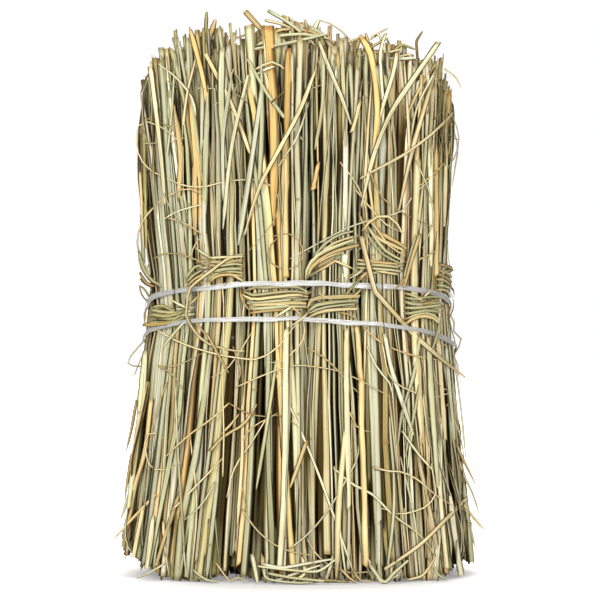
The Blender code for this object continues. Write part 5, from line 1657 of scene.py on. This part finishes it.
topBits = [  # folded and broken pieces on the tips, (x, y, z) in mm
    ([(-20, -40, 242), (-10, -42, 246), (2, -41, 247), (14, -38, 245)], 2.4, "sage"),
    ([(-22, -42, 240), (-12, -43, 241.5), (2, -43, 244.5), (12, -41, 247)], 2.3, "silver"),
    ([(-18, -39, 245), (-8, -38, 249.5), (4, -37, 249), (16, -37, 243.5)], 2.6, "tan"),
    ([(-24.8, -38, 257.8), (-21, -38, 253.6), (-17, -38, 249)], 3.2, "tan"),
    ([(-14.5, -37, 258.2), (-7, -38, 253.8), (-0.5, -39, 248.9), (4.5, -39, 243)], 2.3, "greyGreen"),
    ([(-16, -36, 254), (-8, -37, 252), (2, -38, 247), (8, -38, 241)], 2.0, "straw"),
    ([(-8, -33, 256.5), (2, -35, 251), (12, -37, 246)], 1.6, "sage"),
    ([(0, -32, 253), (8, -35, 249), (14, -38, 242), (17, -40, 230)], 2.8, "greyGreen"),
    ([(-6.6, -36, 248), (-6.2, -36, 252), (-5.8, -36, 255.7)], 3.2, "gold"),
    ([(8.0, -37, 237), (4.6, -37, 246), (2.2, -37, 254)], 2.0, "tan"),
    ([(3.5, -33, 238), (4.9, -33, 246.4), (8.7, -32, 254.8)], 2.6, "pale"),
    ([(8.5, -32, 254.4), (13.7, -32, 252.8), (19.1, -32, 249.1), (24.2, -33, 243.8)], 0.9, "straw"),
    ([(4.5, -34, 241), (6.5, -34, 246), (9.2, -34, 250.8)], 1.8, "tan"),
    ([(12.0, -34, 237), (13.0, -34, 243), (14.1, -34, 248)], 1.4, "tan"),
    ([(38.3, -37, 236.5), (45, -37, 236.3), (52.6, -36, 236.8)], 2.4, "silver"),
    ([(33.5, -33, 246.5), (36.5, -33, 248.8), (40, -33, 250.5)], 1.1, "tan"),
    ([(32.4, -35, 237), (31.2, -35, 243), (29.8, -34, 248.2)], 1.8, "tan"),
    ([(32.0, -34, 245.2), (34.2, -34, 247.9), (36.6, -34, 246.4), (37.2, -34, 240)], 1.2, "straw"),
    ([(14, -36, 238), (18, -35, 243), (21, -34, 247)], 1.5, "tan"),
    ([(-43.5, -30, 238), (-43, -30, 249), (-42.6, -29, 258.5)], 1.9, "olive"),
    ([(-43.2, -32, 236), (-41.2, -32, 246), (-38.6, -31, 254.6)], 2.8, "tan"),
    ([(-35, -33, 238), (-31, -33, 245), (-24, -32, 248)], 1.3, "tan"),
    ([(-33, -34, 236), (-30, -33, 244), (-29, -32, 250)], 1.0, "olive"),
    ([(54, -27, 234), (53.5, -27, 241), (53.4, -27, 245.5), (56.1, -26, 249.9)], 1.3, "brown"),
    ([(26, -36, 236), (33, -36, 242), (40, -34, 246)], 1.6, "tan"),
    ([(30, -37, 240), (38, -36, 239), (46, -34, 241)], 1.4, "straw"),
    ([(41, -34, 238), (46, -33, 243), (53, -31, 241)], 1.7, "olive"),
    ([(44, -33, 232), (50, -32, 237), (60, -29, 233)], 1.6, "tan"),
    ([(38, -35, 230), (44, -34, 237), (51, -32, 239)], 1.4, "sage"),
    ([(-60, -27, 222), (-57, -27, 232), (-54, -27, 237)], 1.8, "tan"),
    ([(-66, -24, 222), (-63, -25, 229), (-59, -26, 233)], 1.9, "sage"),
    ([(20, -20, 243), (26, -22, 247), (33, -20, 244)], 1.6, "straw"),
    ([(-30, 10, 243), (-20, 14, 247), (-10, 12, 244)], 2.0, "straw"),
    ([(10, 20, 245), (18, 26, 248), (22, 34, 243)], 1.9, "sage"),
    ([(-18, 30, 241), (-8, 34, 247), (2, 38, 241)], 1.9, "tan"),
]
footBits = [  # and at the foot
    ([(-17, -52, 9), (-8, -54, 7.5), (4, -54, 9.5), (14, -52, 11)], 2.0, "silver"),
    ([(-19, -53, 8), (-4, -55, 6.5), (8, -55, 6.0), (16, -53, 11)], 1.7, "sage"),
    ([(-15, -53, 5), (-4, -56, 3.2), (8, -56, 2.0), (18, -55, 1.2)], 1.8, "sage"),
    ([(-12, -54, 1.2), (-2, -55, 5), (9, -54, 8.5)], 1.6, "pale"),
    ([(-16, -52, 9), (-15, -56, 3), (-4, -57, 1.2), (6, -57, 1.0)], 1.5, "greyGreen"),
    ([(1, -52, 12), (2, -55, 5), (-3, -56, 1.6)], 1.9, "straw"),
    ([(-8, -52, 8), (4, -55, 2.6), (14, -56, 1.2)], 1.2, "tan"),
    ([(31.0, -52, 9), (34.5, -53, 4), (38, -54, 1.0), (42, -53, 5), (48.5, -51, 10.5)], 2.2, "sage"),
    ([(30, -50, 12), (36, -54, 1.2), (44, -53, 4)], 1.3, "sage"),
    ([(-37.5, -50, 9), (-31.5, -53, 1.5), (-28, -54, 3), (-23.5, -53, 1.5)], 1.0, "straw"),
    ([(-21.5, -50, 13), (-20, -53, 6), (-19, -55, 0.8)], 2.6, "sage"),
    ([(48, -50, 1.5), (55, -52, 4), (61, -50, 12)], 1.5, "straw"),
    ([(58, -47, 11), (62, -49, 4), (66, -47, 1.0)], 1.4, "sage"),
    ([(-60, -46, 9), (-68, -44, 4), (-74, -40, 1.2)], 1.2, "sage"),
    ([(18, -53, 7), (22, -55, 3), (25, -55, 0.9)], 1.5, "tan"),
    ([(24, -53, 6), (27, -55, 2), (33, -54, 1.2)], 1.1, "tan"),
    ([(5, -54, 1.0), (12, -56, 2.0), (22, -54, 0.9)], 1.3, "olive"),
    ([(-48, -50, 6), (-42, -53, 2), (-36, -52, 1.0)], 1.5, "greyGreen"),
]


def looseBits(name, rows):
    parts = []
    for i, (points, width, colour) in enumerate(rows):
        dice = np.random.default_rng(300 * len(name) + i)
        points = np.array(points, float)
        count = 5 * (len(points) - 1) + 1
        at = np.linspace(0, len(points) - 1, count)
        low = np.clip(at.astype(int), 0, len(points) - 2)
        t = (at - low)[:, None]
        slope = np.gradient(points, axis=0) * 0.75
        route = hermite(t, points[low], points[low + 1], slope[low], slope[low + 1])
        taper = np.interp(np.linspace(0, 1, count), [0, 0.1, 0.8, 1], [0.85, 1, 0.95, 0.5])
        widths = width * mm * taper[None, :]
        out = np.broadcast_to(np.array([0.1, -1.0, 0.8]), (1, count, 3))
        tint = linearColour(palette[colour]) * np.ones((1, count, 1))
        sheet = (i / len(rows), (i + 1) / len(rows))
        form, seeds = formFor("leaf", count), dice.random(1)
        parts.append(growStalks(form, route[None] * mm, widths, widths * 0.4, out, tint, seeds, sheet))
    return bundle(name, parts, grass, "straw")


looseBits("top_bits", topBits)
looseBits("foot_bits", footBits)
stage("grew the ragged ends")

bpy.context.view_layer.update()
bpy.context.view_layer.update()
stage("done")
